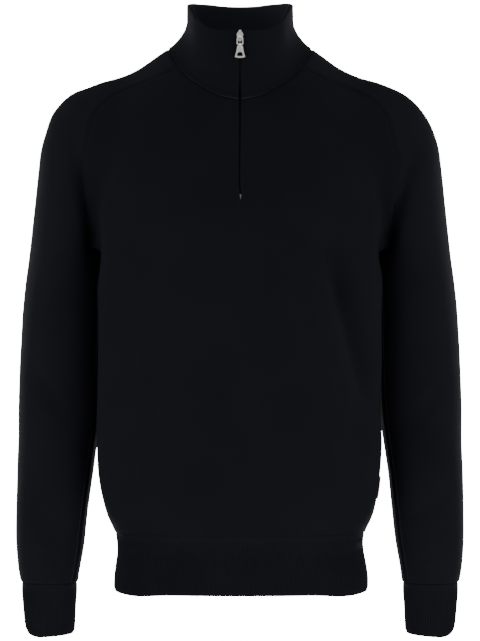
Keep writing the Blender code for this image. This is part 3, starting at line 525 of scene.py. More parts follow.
class Wiring:
    """Short calls for placing and joining nodes in one node tree."""

    def __init__(self, tree):
        self.tree = tree

    def node(self, kind, **settings):
        made = self.tree.nodes.new(kind)
        for name, value in settings.items():
            setattr(made, name, value)
        return made

    def feed(self, socket, value):
        if isinstance(value, bpy.types.NodeSocket):
            self.tree.links.new(value, socket)
        elif value is not None:
            socket.default_value = plain(value)

    def math(self, operation, a, b=None, c=None):
        made = self.node("ShaderNodeMath", operation=operation)
        for socket, value in zip(made.inputs, (a, b, c)):
            self.feed(socket, value)
        return made.outputs[0]

    def mix(self, factor, a, b):
        made = self.node("ShaderNodeMix", data_type="RGBA")
        for name, value in ((0, factor), (6, a), (7, b)):
            self.feed(made.inputs[name], value)
        return made.outputs[2]

    def scaled(self, color, factor):
        made = self.node("ShaderNodeVectorMath", operation="SCALE")
        self.feed(made.inputs[0], color)
        self.feed(made.inputs["Scale"], factor)
        return made.outputs[0]

    def parts(self, vector):
        made = self.node("ShaderNodeSeparateXYZ")
        self.feed(made.inputs[0], vector)
        return made.outputs

    def place(self):
        return self.node("ShaderNodeTexCoord").outputs["Object"]

    def ripple(self, value, pitch=1.0):
        """|sin| of a value, one bump for each pitch."""
        return self.math("ABSOLUTE", self.math("SINE", self.math("MULTIPLY", value, np.pi / pitch)))

    def noise(self, where, scale, detail=2.0):
        made = self.node("ShaderNodeTexNoise")
        self.feed(made.inputs["Vector"], where)
        made.inputs["Scale"].default_value = scale
        made.inputs["Detail"].default_value = detail
        return made.outputs["Fac"]


class Pattern(Wiring):
    """A shader node group that puts out a colour, a height and a roughness from named inputs."""

    def __init__(self, name, inputs):
        super().__init__(bpy.data.node_groups.new(name, "ShaderNodeTree"))
        new_socket = self.tree.interface.new_socket
        for label, value in inputs.items():
            kind = "NodeSocketColor" if isinstance(value, tuple) else "NodeSocketFloat"
            new_socket(name=label, in_out="INPUT", socket_type=kind).default_value = plain(value)
        for label, kind in (("Color", "Color"), ("Height", "Float"), ("Roughness", "Float")):
            new_socket(name=label, in_out="OUTPUT", socket_type="NodeSocket" + kind)
        self.given = self.node("NodeGroupInput").outputs

    def put_out(self, *values):
        result = self.node("NodeGroupOutput")
        for socket, value in zip(result.inputs, values):
            self.feed(socket, value)
        return self.tree


def jersey_group():
    """Plain knit: V-shaped stitches in rows, from a map of the cloth in metres.

    Each half of a wale is a leg, sin(pi h) high, where h runs from 0 in the wale's middle to 1 at its
    edge, and each course is a loop, sin(pi w) high, whose phase climbs with h, so the legs lean."""
    inputs = {"Stitch Width": STITCH[0], "Stitch Height": STITCH[1], "Lit": YARN, "Shaded": YARN_SHADED}
    w = Pattern("plain_knit", inputs)
    across, up, _ = w.parts(w.node("ShaderNodeUVMap", uv_map="cloth").outputs[0])
    across = w.math("DIVIDE", across, w.given["Stitch Width"])
    up = w.math("DIVIDE", up, w.given["Stitch Height"])
    half = w.math("ABSOLUTE", w.math("MULTIPLY_ADD", w.math("FRACT", across), 2.0, -1.0))
    leg = w.math("SINE", w.math("MULTIPLY", half, np.pi))
    climb = w.math("FRACT", w.math("MULTIPLY_ADD", half, 0.8, up))
    loop = w.math("SINE", w.math("MULTIPLY", climb, np.pi))
    height = w.math("MULTIPLY", leg, w.math("MULTIPLY_ADD", loop, 0.6, 0.4))
    solid = w.place()
    patch, fuzz = w.noise(solid, 14.0, 3.0), w.noise(solid, 900.0)
    # Each stitch runs from the Lit colour on its top to the darker Shaded colour in its hollows: painted
    # shade
    yarn = w.mix(w.math("MULTIPLY_ADD", height, 0.75, 0.25), w.given["Shaded"], w.given["Lit"])
    tone = w.math("ADD", w.math("MULTIPLY_ADD", patch, 0.5, 0.55), w.math("MULTIPLY", fuzz, 0.4))
    relief = w.math("MULTIPLY_ADD", fuzz, 0.35, height)
    return w.put_out(w.scaled(yarn, tone), relief, w.math("MULTIPLY_ADD", fuzz, 0.2, 0.72))


PLAIN_KNIT = jersey_group()


def patterned(name, pattern, values, relief, settings):
    """A material with a pattern's colour, roughness and relief, and the shader's other settings."""
    made = bpy.data.materials.new(name)
    made.use_nodes = True
    w = Wiring(made.node_tree)
    shader = made.node_tree.nodes["Principled BSDF"]
    look, bump = w.node("ShaderNodeGroup", node_tree=pattern), w.node("ShaderNodeBump")
    for label, value in values.items():
        w.feed(look.inputs[label], value)
    bump.inputs["Strength"].default_value = 1.0
    bump.inputs["Distance"].default_value = relief
    w.feed(bump.inputs["Height"], look.outputs["Height"])
    w.feed(shader.inputs["Normal"], bump.outputs[0])
    w.feed(shader.inputs["Base Color"], look.outputs["Color"])
    w.feed(shader.inputs["Roughness"], look.outputs["Roughness"])
    for label, value in settings.items():
        w.feed(shader.inputs[label], value)
    return made


def knit_material(name, pattern, values, relief):
    """Soft matt wool, with a faint gloss and a little fuzz."""
    gloss = {"Specular IOR Level": 0.06}
    fuzz = {"Sheen Weight": 0.02, "Sheen Roughness": 0.45, "Sheen Tint": (0.6, 0.68, 1.0)}
    return patterned(name, pattern, values, relief, gloss | fuzz)


BODY_KNIT = knit_material("body_knit", PLAIN_KNIT, {}, 0.35 * MM)


def whole(half):
    """A half grid with its mirror image on the other side, right column first."""
    return np.concatenate([half[:, :0:-1] * (-1, 1, 1), half], 1)


def open_slit(grid, joined, middle, roll):
    """Parts the middle column above the joined rows: each side's points move off to the slit's edge,
    and the cloth within `roll` of it turns in on a quarter circle. Returns the grid with the middle
    column there twice, and the index grid that joins the two lower down."""
    left = grid[:, middle:].copy()
    width, lean = through(SLIT, left[:, 0, 2] / MM).T * MM
    open_share = ease(joined - 0.5, joined + 1, np.arange(len(grid)))
    fading = open_share[:, None] * np.exp(-np.abs(left[..., 0]) / (6 * MM))
    shift = (lean + width / 2)[:, None] * fading
    left[..., 0] += shift
    back = np.clip(roll - (left[..., 0] - left[:, :1, 0]), 0, roll)
    sink = (roll - np.sqrt(roll**2 - back**2)) * open_share[:, None]
    left[..., 1] += sink
    right = grid[:, : middle + 1].copy()
    right[..., 0] += (lean - width / 2)[:, None] * fading[:, ::-1]
    right[..., 1] += sink[:, ::-1]
    both = np.concatenate([right, left], 1)
    index = index_grid(both)
    index[: joined + 1, middle] = index[: joined + 1, middle + 1]
    return both, index


LAST_ROW = SIDE_ROWS + ARMHOLE_ROWS
rows = row_places(0, LAST_ROW, 150)
neck = neck_line(0, FRONT_JOIN)
stops = [BAND_SEAM_Z, UNDERARM_Z, SLIT_END_Z, neck[0, 2]]
heights = np.interp(rows, [0, SIDE_ROWS, SIDE_ROWS + SLIT_ROWS, LAST_ROW], stops)
grid = whole(half_panel(FRONT_SEAM, -1, 44, heights, rows, neck))
middle = grid.shape[1] // 2
zip_line_low = grid[:, middle] + (0, -1, 0) * bells(grid[:, middle], FOLDS)[:, None]
front_seam = on_seam(FRONT_SEAM, np.linspace(0, LAST_ROW, 400))
hem_line = grid[0].copy()
grid = finished(grid, "body", both_sides(front_seam, neck), [*both_sides(neck), hem_line])
grid[..., 1] += placket_groove(grid)
joined = int(np.searchsorted(rows, SIDE_ROWS + SLIT_ROWS))
cloth = cloth_map(grid, middle)
cloth = np.concatenate([cloth[:, : middle + 1], cloth[:, middle:]], 1)
grid, index = open_slit(grid, joined, middle, EDGE_ROLL)
front_grid = grid[:, middle + 1 :]
faces = quads(index[:, : middle + 1]) + quads(index[:, middle + 1 :])
front = mesh_piece("front_knit", grid, faces, cloth)
front.data.materials.append(BODY_KNIT)
thicken(front, WALL)
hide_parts("front_panel")


# ---- Back panel
# The back is one piece of the same knit, wider at the shoulder blades, linked to the front down the
# side seams and to both sleeves up the armholes.

rows = row_places(0, LAST_ROW, 140)
neck = neck_line(1, BACK_JOIN)
stops = [BAND_SEAM_Z, UNDERARM_Z, neck[0, 2]]
heights = np.interp(rows, [0, SIDE_ROWS, LAST_ROW], stops)
grid = whole(half_panel(BACK_SEAM, 1, 44, heights, rows, neck))
back_seam = on_seam(BACK_SEAM, np.linspace(0, LAST_ROW, 400))
hem_line = grid[0].copy()
grid = finished(grid, "body", both_sides(back_seam, neck), [*both_sides(neck), hem_line])
cloth = cloth_map(grid, grid.shape[1] // 2)
back = mesh_piece("back_knit", grid, quads(index_grid(grid)[:, ::-1]), cloth)
back.data.materials.append(BODY_KNIT)
thicken(back, WALL)
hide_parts("back_panel")


# ---- Sleeves
# Each sleeve is one knitted piece, closed by a seam along the underside of the arm, and runs on over
# the shoulder as a saddle up to the neck seam.

SLEEVE_LOW_Z = -660 * MM
AROUND = np.linspace(0, 1, 181)  # places round a section, from seam to seam


def drawn_to(line, start, end, reach):
    """A line whose ends are moved to two given points, the move fading as exp(-(s/reach)^2)."""
    length = run_of(line)[:, None]
    first, last = bell(length, 0, reach, 1), bell(length, length[-1], reach, 1)
    return line + (start - line[0]) * first + (end - line[-1]) * last


def section(centre, tilt, turns):
    """The sleeve's outline round a centre, in the plane that leans by `tilt`."""
    return cast(centre, directions(tilt, turns), "sleeve")


def sleeve_lines():
    """Fine lines round the left sleeve, from the cuff to the neck seam, each from seam to seam."""
    table = np.hstack([np.arange(len(SADDLE))[:, None], np.array(SADDLE, float)])
    ring = table[0, 5] + (table[0, 6] - table[0, 5]) * AROUND
    underarm = on_seam(FRONT_SEAM, np.array([float(SIDE_ROWS)]))[0]
    even = np.linspace(SLEEVE_LOW_Z + 9 * MM, UNDERARM_Z, 104)
    levels = np.concatenate([SLEEVE_LOW_Z + EDGE_STEPS, even])
    centres = np.column_stack([through(SLEEVE, levels / MM)[:, :2] * MM, levels])
    lines = list(section(centres[:, None], 0, ring[None]))
    for k, level in enumerate(levels):
        target = lines[k][0] + (underarm - lines[k][0]) * ease(-310, -246, level / MM)
        lines[k] = drawn_to(lines[k], target, target, 18 * MM)
    last = [12.9, 12.95, 12.98, 13]  # close together at the neck seam
    places = np.concatenate([np.linspace(0, 12, 76)[1:], 12 + np.linspace(0, 1, 7)[1:-1], last])
    lower = places[places <= 12]
    read = through(table, lower)
    turns = read[:, 4:5] + (read[:, 5:6] - read[:, 4:5]) * AROUND
    upper = section(read[:, None, :3] * MM, read[:, 3:4], turns)
    front_ends, back_ends = (on_seam(seam, SIDE_ROWS + places) for seam in (FRONT_SEAM, BACK_SEAM))
    top = along(NECK_SADDLE, np.linspace(0, length_of(NECK_SADDLE), len(AROUND)))
    for place in places[places > 12]:
        rising = ease(0, 1, place - 12) * 0.5 + (place - 12) * 0.5
        upper = np.concatenate([upper, (upper[len(lower) - 1] * (1 - rising) + top * rising)[None]])
    for k in range(len(places)):
        upper[k] = drawn_to(upper[k], front_ends[k], back_ends[k], 15 * MM)
    high = slice(int(np.searchsorted(places, 1)), None)
    upper[high] = settle(upper[high], "sleeve")
    upper[:, 0], upper[:, -1], upper[-1] = front_ends, back_ends, top
    return lines + list(upper), len(levels)


NECK_SADDLE = neck_line(FRONT_JOIN, BACK_JOIN)
lines, ring_rows = sleeve_lines()
left_grid = np.array([along(line, spaced(length_of(line), 108)) for line in lines])
index = index_grid(left_grid)
index[:ring_rows, -1] = index[:ring_rows, 0]
armholes = [seam[seam[:, 2] > UNDERARM_Z] for seam in (front_seam, back_seam)]
seam_lines = [*armholes, NECK_SADDLE, left_grid[0], left_grid[:ring_rows, 0]]
# The sleeves' colours are about a fifth paler than the body's: painted light, for the light their outer
# sides catch
SLEEVE_PAINTED_LIGHT = {"Lit": (0.0069, 0.0072, 0.0101), "Shaded": (0.0035, 0.0037, 0.0053)}
SLEEVE_KNIT = knit_material("sleeve_knit", PLAIN_KNIT, SLEEVE_PAINTED_LIGHT, 0.35 * MM)
for side, flip in (("left", 1), ("right", -1)):
    seams = [line * (flip, 1, 1) for line in seam_lines]
    grid = finished(left_grid * (flip, 1, 1), "sleeve", seams, seams[2:4])
    cloth = cloth_map(grid, grid.shape[1] // 2)
    sleeve = mesh_piece(f"sleeve_knit_{side}", grid, quads(index[:, ::flip]), cloth)
    sleeve.data.materials.append(SLEEVE_KNIT)
    thicken(sleeve, WALL)
    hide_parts(f"sleeve_{side}")


# ---- Collar
# A funnel collar, knitted as one long strip and folded over at the rim, so it is two layers thick.
# Its open edges are linked to the neck seam, and the zip is sewn in between the layers at the front.

COLLAR_WALL, FACING_WALL = 3.3 * MM, 1.5 * MM
RIM_SWELL, RIM_REACH = 1.9 * MM, 11 * MM  # how much fuller the folded rim is, and how far down
FOOT_STEP = 0.9 * MM  # how far the collar's lower edge stands proud of the body
SEAM_ALLOWANCE = 3 * MM  # how far the collar's inner layer reaches down behind the body
FACING_PAINTED_LIGHT = {"Lit": (0.036, 0.0385, 0.0475), "Shaded": (0.021, 0.0225, 0.028)}  # the inner layer, painted paler as light that the front rim keeps off it
COLLAR_FLARE = (0.62, 1.8)  # share of the height, and power, of the sweep down to the shoulder


def wall_at(from_slit):
    """The collar's thickness: one layer beside the zip, two from there on."""
    return FACING_WALL + (COLLAR_WALL - FACING_WALL) * ease(9 * MM, 15 * MM, from_slit)


def swell_at(from_slit):
    return RIM_SWELL * ease(10 * MM, 18 * MM, from_slit)


def collar_grid():
    """Half the collar's outer face: straight up from the neck seam to the rim, but drawn in as
    1 - (1 - h/reach)^power at the sides, where it sweeps out to the shoulder."""
    shares = np.linspace(0, 1, 1201)
    line = through(COLLAR, shares)[:, :3] * MM
    length = run_of(line)
    at = np.concatenate([EDGE_STEPS, np.linspace(EDGE_STEPS[-1], length[-1], 92)[1:]])
    shares = np.interp(at, length, shares)
    read = through(COLLAR, shares) * MM
    foot, rim = settle(read[:, :3], "all"), read[:, 3:]
    height = np.linalg.norm(rim - foot, axis=1)
    low = EDGE_STEPS[:, None] / height
    top = 1 - (wall_at(at) + swell_at(at)) / 2 / height
    up = np.concatenate([low, low[-1] + (top - low[-1]) * np.linspace(0, 1, 24)[1:, None]])
    reach, power = COLLAR_FLARE
    swept = 1 - np.clip(1 - up / reach, 0, 1) ** power
    drawn_in = up + (swept - up) * np.sin(np.pi * shares) ** 2
    grid = foot + (rim - foot) * np.stack([drawn_in, drawn_in, up], -1)
    return grid, foot, at


half, foot, from_slit = collar_grid()
zip_line_high = half[:, 0].copy()
grid = np.concatenate([half, half[:, -2::-1] * (-1, 1, 1)], 1)
feet = np.concatenate([foot, foot[-2::-1] * (-1, 1, 1)])
from_slit = np.concatenate([from_slit, from_slit[-2::-1]])
around = np.gradient(grid, axis=1)
around[:, [0, -1], 1:] = 0
normals = np.cross(around, np.gradient(grid, axis=0))
normals /= np.linalg.norm(normals, axis=-1, keepdims=True)
above = run_of(grid)
swell = swell_at(from_slit) * ease(RIM_REACH, 0, above[-1] - above)
inner = grid - normals * (wall_at(from_slit) + swell)[..., None]
uneven = 0.35 * MM * wander(grid, 22 * MM, 9) * ease(0, 12 * MM, above)
outer = grid + normals * uneven[..., None]
foot_step = bell(above, 2.2 * MM, 1.6 * MM, FOOT_STEP) - bell(above, 0, 1.1 * MM, SEAM_DIP / 2)
outer += normals_at(feet, "all") * foot_step[..., None]
outer[..., 1] += placket_groove(outer)

# The slit: both edges part by half its width and the outer layer rolls in
half_slit = through(SLIT, grid[:, :1, 2] / MM)[..., 0] * MM / 2
side = np.sign(np.arange(grid.shape[1]) - grid.shape[1] // 2) * -1.0
shift = half_slit * np.exp(-from_slit / (6 * MM)) * side
back = np.clip(EDGE_ROLL - from_slit, 0, EDGE_ROLL)
outer[..., 1] += EDGE_ROLL - np.sqrt(EDGE_ROLL**2 - back**2)
outer[..., 0] += shift
inner[..., 0] += shift
down = grid[0] - grid[1]
inner[0] += SEAM_ALLOWANCE * down / np.linalg.norm(down, axis=-1, keepdims=True)

# The rim: a half circle over from the outer face to the inner one
turn = np.linspace(0, np.pi, 10)[1:-1, None, None]
centre, out = (outer[-1] + inner[-1]) / 2, (outer[-1] - inner[-1]) / 2
rise = np.array([0, 0, 1.0]) * np.linalg.norm(out, axis=-1, keepdims=True)
rim = centre + out * np.cos(turn) + rise * np.sin(turn)
rim[:, :, 2] += 0.25 * MM * wander(rim, 30 * MM, 5)
profile = np.concatenate([outer, rim, inner[::-1][::3], inner[:1]])
index, far = index_grid(profile), len(profile) - 1
faces = quads(index_grid(profile, "rows"))
for k in range(len(profile) // 2 - 1):
    corners = index[[k, k + 1, far - k - 1, far - k]]
    faces += [corners[::-1, 0].tolist(), corners[:, -1].tolist()]
collar = mesh_piece("collar_knit", profile, faces, cloth_map(profile, profile.shape[1] // 2))
collar.data.materials.append(knit_material("collar_knit", PLAIN_KNIT, {}, 0.35 * MM))
collar.data.materials.append(knit_material("facing_knit", PLAIN_KNIT, FACING_PAINTED_LIGHT, 0.35 * MM))
# The inner layer's faces take the paler facing colour: painted light
row = np.array([face.vertices[0] for face in collar.data.polygons]) // profile.shape[1]
inside = row >= len(outer) + len(rim) - 3
collar.data.polygons.foreach_set("material_index", inside.astype(np.int32))
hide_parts("collar")


# ---- Neck seam
# Where the collar is linked on to front, back and sleeves, the joined loops stand up as one fine
# cord of yarn round the neck, with a slight swell at every stitch.

STITCH_PITCH, CORD_RADIUS, CORD_RISE = 1.7 * MM, 0.55 * MM, 0.5 * MM
CORD_YARN = {"Lit": (0.0052, 0.0056, 0.0078), "Shaded": (0.0034, 0.0037, 0.0052)}


def cord_along(path, out, radius, pitch, sides=8):
    """A tube along a path whose radius swells as |sin| once a stitch."""
    run = np.gradient(path, axis=0)
    run /= np.linalg.norm(run, axis=1, keepdims=True)
    across = np.cross(run, out)
    across /= np.linalg.norm(across, axis=1, keepdims=True)
    out = np.cross(across, run)
    swell = radius * (0.72 + 0.28 * np.abs(np.sin(np.pi * run_of(path) / pitch)))[:, None, None]
    turn = np.linspace(0, 2 * np.pi, sides, endpoint=False)[:, None]
    ring = across[:, None] * np.cos(turn) + out[:, None] * np.sin(turn)
    points = path[:, None] + ring * swell
    index = index_grid(points, "columns")
    return points, quads(index) + [index[0, -2::-1].tolist(), index[-1, :-1].tolist()]


path = along(outer[0], np.arange(0, length_of(outer[0]), STITCH_PITCH / 4))
out = normals_at(path, "all")
points, faces = cord_along(path + out * CORD_RISE, out, CORD_RADIUS, STITCH_PITCH)
neck_cord = mesh_piece("neck_seam_cord", points, faces)
neck_cord.data.materials.append(knit_material("linking_yarn", PLAIN_KNIT, CORD_YARN, 0.0))


# ---- Hem band
# A tube of rib knit in a slightly finer, firmer stitch, linked to the body at its top. Its ribs run
# on as plain knit for the first centimetre below the seam.

HEM = [  # z, x of the middle, half width, y of the widest point, depth before, depth behind (mm)
    (-669, 1.2, 160.4, -12, 102, 116),
    (-651, 1.4, 160, -12, 102, 116),
    (-632, 1.2, 157.4, -12, 101.5, 115.5),
    (-620, 0.8, 155.4, -12, 101, 115),
    (-607, 0, 155.2, -12.5, 102, 115.5),
    (-594, 0, 157.8, -13, 104.5, 116.5),
]
HEM_RIBS, HEM_WALL, RIB_HEIGHT = 280, 2.4 * MM, 0.6 * MM
RIB_POINTS = 6  # columns to a rib
# The hollows of the rib's stitches take the much darker Shaded colour: painted shade
RIB_YARN = {"Lit": (0.0065, 0.0069, 0.0095), "Shaded": (0.0018, 0.002, 0.0028)}
SAG_HEIGHT = 42 * MM  # how far up a band its lower edge's sag is felt


def signed_power(values, power):
    """Values raised to a power, each with its sign kept."""
    return np.sign(values) * np.abs(values) ** power


def oval_ring(x, y, half_width, depths, squareness, count):
    """Evenly spaced points round the superellipse |x/a|^n + |y/b|^n = 1, and its ways out."""
    turn = np.linspace(0, 2 * np.pi, 14401)
    behind = np.sin(turn) > 0
    power = 2 / np.where(behind, squareness[1], squareness[0])
    depth = np.where(behind, depths[1], depths[0])
    across, ahead = signed_power(np.cos(turn), power), signed_power(np.sin(turn), power)
    fine = np.stack([half_width * across, depth * ahead], -1)
    length = run_of(fine)
    at = np.arange(count) / count * length[-1]
    ring = np.stack([np.interp(at, length, values) for values in fine.T], -1)
    run = np.roll(ring, -1, 0) - np.roll(ring, 1, 0)
    out = np.stack([run[:, 1], -run[:, 0]], -1) / np.linalg.norm(run, axis=1)[:, None]
    return ring + (x, y), out


def ribbed_tube(name, rings, low, high, ribs, wall, plain, seam_dip, curl, sag, material, flip=1):
    """A tube of rib knit. Round it each rib is 2|cos(pi u)|^0.8 - 1 high, fading in below the seam;
    down it the outside runs to a half-round lower edge and up again inside. Over the last `curl`
    (height, depth) the edge turns in on a quarter of an oval, and `sag` lowers it across."""
    count, radius = ribs * RIB_POINTS, wall / 2
    fade = plain + np.array([0, 2, 4, 6, 8, 10, 12]) * MM
    even = np.linspace(high - fade[-1], low + radius, 14)[1:]
    down = np.concatenate([high - EDGE_STEPS[:-1], high - fade[fade > EDGE_STEPS[-2]], even])
    turn = np.linspace(0, np.pi, 9)[1:-1]
    inside = [low + radius, low + curl[0] / 2, low + curl[0], (low + high) / 2, high]
    z = np.concatenate([down, low + radius - radius * np.sin(turn), inside])
    depth = np.concatenate([np.zeros(len(down)), radius * (1 - np.cos(turn)), [wall] * len(inside)])
    relief = ease(high - fade[0], high - fade[-1], z) * ease(0.75, 0.1, depth / wall)
    pull = bell(z, high, SEAM_REACH, seam_dip) * (depth == 0)
    pull += curl[1] * (1 - np.sqrt(1 - np.clip((low + curl[0] - z) / curl[0], 0, 1) ** 2))
    u = np.arange(count) / RIB_POINTS
    ridge = 2 * np.abs(np.cos(np.pi * u)) ** 0.8 - 1
    ring, out = (np.stack(v) for v in zip(*[rings(level / MM, count) for level in z]))
    lift = RIB_HEIGHT * ridge * relief[:, None] - (depth + pull)[:, None]
    grid = np.concatenate([ring + out * lift[..., None], np.repeat(z[:, None, None], count, 1)], -1)
    off_middle = grid[..., 0] - grid[..., 0].mean()
    grid[..., 2] -= ease(low + SAG_HEIGHT, low, grid[..., 2]) * sag(off_middle)
    length = run_of(np.stack([z, depth], -1))
    cloth = np.stack(np.broadcast_arrays(np.append(u, ribs)[None] * 2 * STITCH[0], length[:, None]), -1)
    grid = np.concatenate([grid, grid[:, :1]], 1) * (flip, 1, 1)
    index = index_grid(grid)[:, ::flip]
    faces = quads(index[::-1]) + quads(index[[0, -1]])
    made = mesh_piece(name, grid, faces, cloth)
    made.data.materials.append(material)
    weld = made.modifiers.new("closed", "WELD")
    weld.merge_threshold = 0.00001
    return made


def hem_rings(z, count):
    x, half_width, y, before, behind = through(HEM, z) * MM
    return oval_ring(x, y, half_width, (before, behind), TRUNK_SQUARENESS, count)


def hem_sag(x):
    """The band's lower edge hangs 3 mm deeper near its two sides: a bell round 130 mm out."""
    return bell(np.abs(x), 130 * MM, 26 * MM, 3 * MM)


RIB_KNIT = knit_material("rib_knit", PLAIN_KNIT, RIB_YARN, 0.3 * MM)
hem = ribbed_tube(
    "hem_rib_knit", hem_rings, low=HEM[0][0] * MM, high=BAND_SEAM_Z, ribs=HEM_RIBS, wall=HEM_WALL,
    plain=2 * MM, seam_dip=0.8 * MM, curl=(7 * MM, 4 * MM), sag=hem_sag, material=RIB_KNIT,
)
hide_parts("hem_rib")


# ---- Cuffs
# The cuffs are tubes of the same rib knit as the hem band, linked to the sleeve ends. Like the
# sleeves they are painted paler than the body, as painted light for the light they catch.

CUFF = [  # z, centre x, centre y, half width, half depth (mm)
    (-726.4, 239.8, -14, 30.2, 28.7),
    (-715, 240.4, -13.8, 31.3, 29.8),
    (-690, 241, -13, 32.9, 31.2),
    (-660, 241.1, -12, 35.3, 32),
]
CUFF_RIBS, CUFF_WALL = 64, 2.2 * MM
CUFF_PAINTED_LIGHT = {"Lit": (0.0072, 0.0076, 0.0105), "Shaded": (0.0026, 0.0028, 0.004)}


def cuff_rings(z, count):
    x, y, half_width, half_depth = through(CUFF, z) * MM
    return oval_ring(x, y, half_width, (half_depth, half_depth), (SLEEVE_SQUARENESS,) * 2, count)


def cuff_sag(x):
    """The cuff's lower edge slopes down outwards, and rises again round its outer corner."""
    return 0.09 * x - 6.5 * MM * np.clip((x - 8 * MM) / (21 * MM), 0, 1.3) ** 2


CUFF_KNIT = knit_material("cuff_knit", PLAIN_KNIT, CUFF_PAINTED_LIGHT, 0.3 * MM)
for side, flip in (("left", 1), ("right", -1)):
    cuff = ribbed_tube(
        f"cuff_rib_knit_{side}", cuff_rings, low=CUFF[0][0] * MM, high=SLEEVE_LOW_Z, ribs=CUFF_RIBS,
        wall=CUFF_WALL, plain=1 * MM, seam_dip=0.4 * MM, curl=(8 * MM, 4.5 * MM), sag=cuff_sag,
        material=CUFF_KNIT, flip=flip,
    )
    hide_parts(f"cuff_{side}")


# ---- Zip tapes
# Two tapes in a plain weave, sewn in behind the slit, carry the teeth along their inner edges. They
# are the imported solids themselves, in their own cloth.

TAPE_YARN = {"Lit": (0.0052, 0.0056, 0.0072), "Shaded": (0.002, 0.0022, 0.003)}


def weave_group():
    """Plain weave on Object coordinates: two sets of threads, each |sin| across, that swap height."""
    w = Pattern("plain_weave", {"Pitch": 0.5 * MM, "Lit": YARN, "Shaded": YARN_SHADED})
    x, _, z = w.parts(w.place())
    across, up = w.math("DIVIDE", x, w.given["Pitch"]), w.math("DIVIDE", z, w.given["Pitch"])
    square = w.math("ADD", w.math("FLOOR", across), w.math("FLOOR", up))
    over = w.math("GREATER_THAN", w.math("FRACT", w.math("MULTIPLY", square, 0.5)), 0.25)
    weft = w.math("MULTIPLY", w.ripple(up), w.math("SUBTRACT", 1.0, over))
    height = w.math("MULTIPLY_ADD", w.ripple(across), over, weft)
    roughness = w.math("MULTIPLY_ADD", w.noise(w.place(), 1500.0), 0.2, 0.6)
    # The lower thread at each crossing takes the darker Shaded colour: painted shade
    return w.put_out(w.mix(height, w.given["Shaded"], w.given["Lit"]), height, roughness)


TAPE = knit_material("zip_tape_weave", weave_group(), TAPE_YARN, 0.1 * MM)
for side in ("left", "right"):
    frame["nodes"][f"zip_tape_{side}"].data.materials.clear()
    frame["nodes"][f"zip_tape_{side}"].data.materials.append(TAPE)


# ---- Zip teeth and bottom stop
# Die-cast metal teeth, clamped on to the tapes in turn from the left and the right, closed all the
# way up, coloured near black as painted shade for the narrow slit they lie in. Three bright clamps
# across both tapes stop the slider at the bottom.

TEETH_DEPTH, STOP_DEPTH = 3.5 * MM, 3.1 * MM  # from the cloth's face to the middle of the metal
TOOTH = [  # x, half height and half depth (mm)
    (-0.62, 0.1, 0.3),
    (-0.5, 0.3, 0.5),
    (0.0, 0.34, 0.62),
    (0.5, 0.3, 0.55),
    (0.9, 0.52, 0.8),
    (1.8, 0.5, 0.8),
    (2.0, 0.36, 0.66),
]
STOP = [  # in the same columns
    (-2.0, 0.3, 0.7),
    (-1.8, 0.55, 1.1),
    (-0.9, 0.62, 1.25),
    (0.9, 0.62, 1.25),
    (1.8, 0.55, 1.1),
    (2.0, 0.3, 0.7),
]
TEETH_SPAN, TOOTH_PITCH = (-171.5, 26.4), 0.98  # (mm)
STOP_HEIGHTS = (-178.2, -175.7, -173.2)  # (mm)
# The teeth's near black colours are painted shade, standing in for the shadow of the slit
TEETH_PAINTED_SHADE = {"Bright": (0.03, 0.03, 0.031), "Tarnish": (0.008, 0.008, 0.008), "Gloss": 0.34}
DENT = 0.012 * MM


def metal_group():
    """Cast and tumbled metal: dents of a few tenths of a millimetre, hair scratches along Z, and a
    thin tarnish that gathers in patches."""
    inputs = {"Bright": (0.82, 0.8, 0.77), "Tarnish": (0.42, 0.4, 0.37), "Gloss": 0.24}
    w = Pattern("tumbled_metal", inputs)
    solid, stretch = w.place(), w.node("ShaderNodeMapping")
    stretch.inputs["Scale"].default_value = (9, 9, 1)
    w.feed(stretch.inputs["Vector"], solid)
    patch, dent = w.noise(solid, 420.0), w.noise(solid, 1400.0)
    hair = w.noise(stretch.outputs[0], 700.0, 4.0)
    tarnish = w.math("MULTIPLY", w.math("SUBTRACT", patch, 0.45), 1.6)
    color = w.mix(tarnish, w.given["Bright"], w.given["Tarnish"])
    gloss = w.math("MULTIPLY_ADD", hair, 0.16, w.given["Gloss"])
    return w.put_out(color, w.math("MULTIPLY_ADD", dent, 0.6, hair), gloss)


TUMBLED_METAL = metal_group()


def metal_material(name, values):
    """Plated zinc with the tumbled metal's colour, gloss and dents."""
    return patterned(name, TUMBLED_METAL, values, DENT, {"Metallic": 1.0})


ZIP_LINE = np.concatenate([zip_line_low, zip_line_high[1:]])[:, 1:]
ZIP_RUN = np.gradient(ZIP_LINE, axis=0)
ZIP_RUN /= np.linalg.norm(ZIP_RUN, axis=1, keepdims=True)


def on_zip(local, z):
    """Local points (across, up, in) carried to places of the given heights along the zip."""
    at = np.array([np.interp(z, ZIP_LINE[:, 1], v) for v in (*ZIP_LINE.T, *ZIP_RUN.T)])[..., None]
    across, up, deep = np.moveaxis(local, -1, 0)
    y = at[0] + up * at[2] + deep * at[3]
    return np.stack([across, y, at[1] + up * at[3] - deep * at[2]], -1)


def bar_faces(sections, sides):
    """Quads round a bar of sections and its two end faces."""
    index = index_grid(np.zeros((sections, sides, 1)), "columns")
    return quads(index[::-1]) + [index[0, :-1].tolist(), index[-1, -2::-1].tolist()]


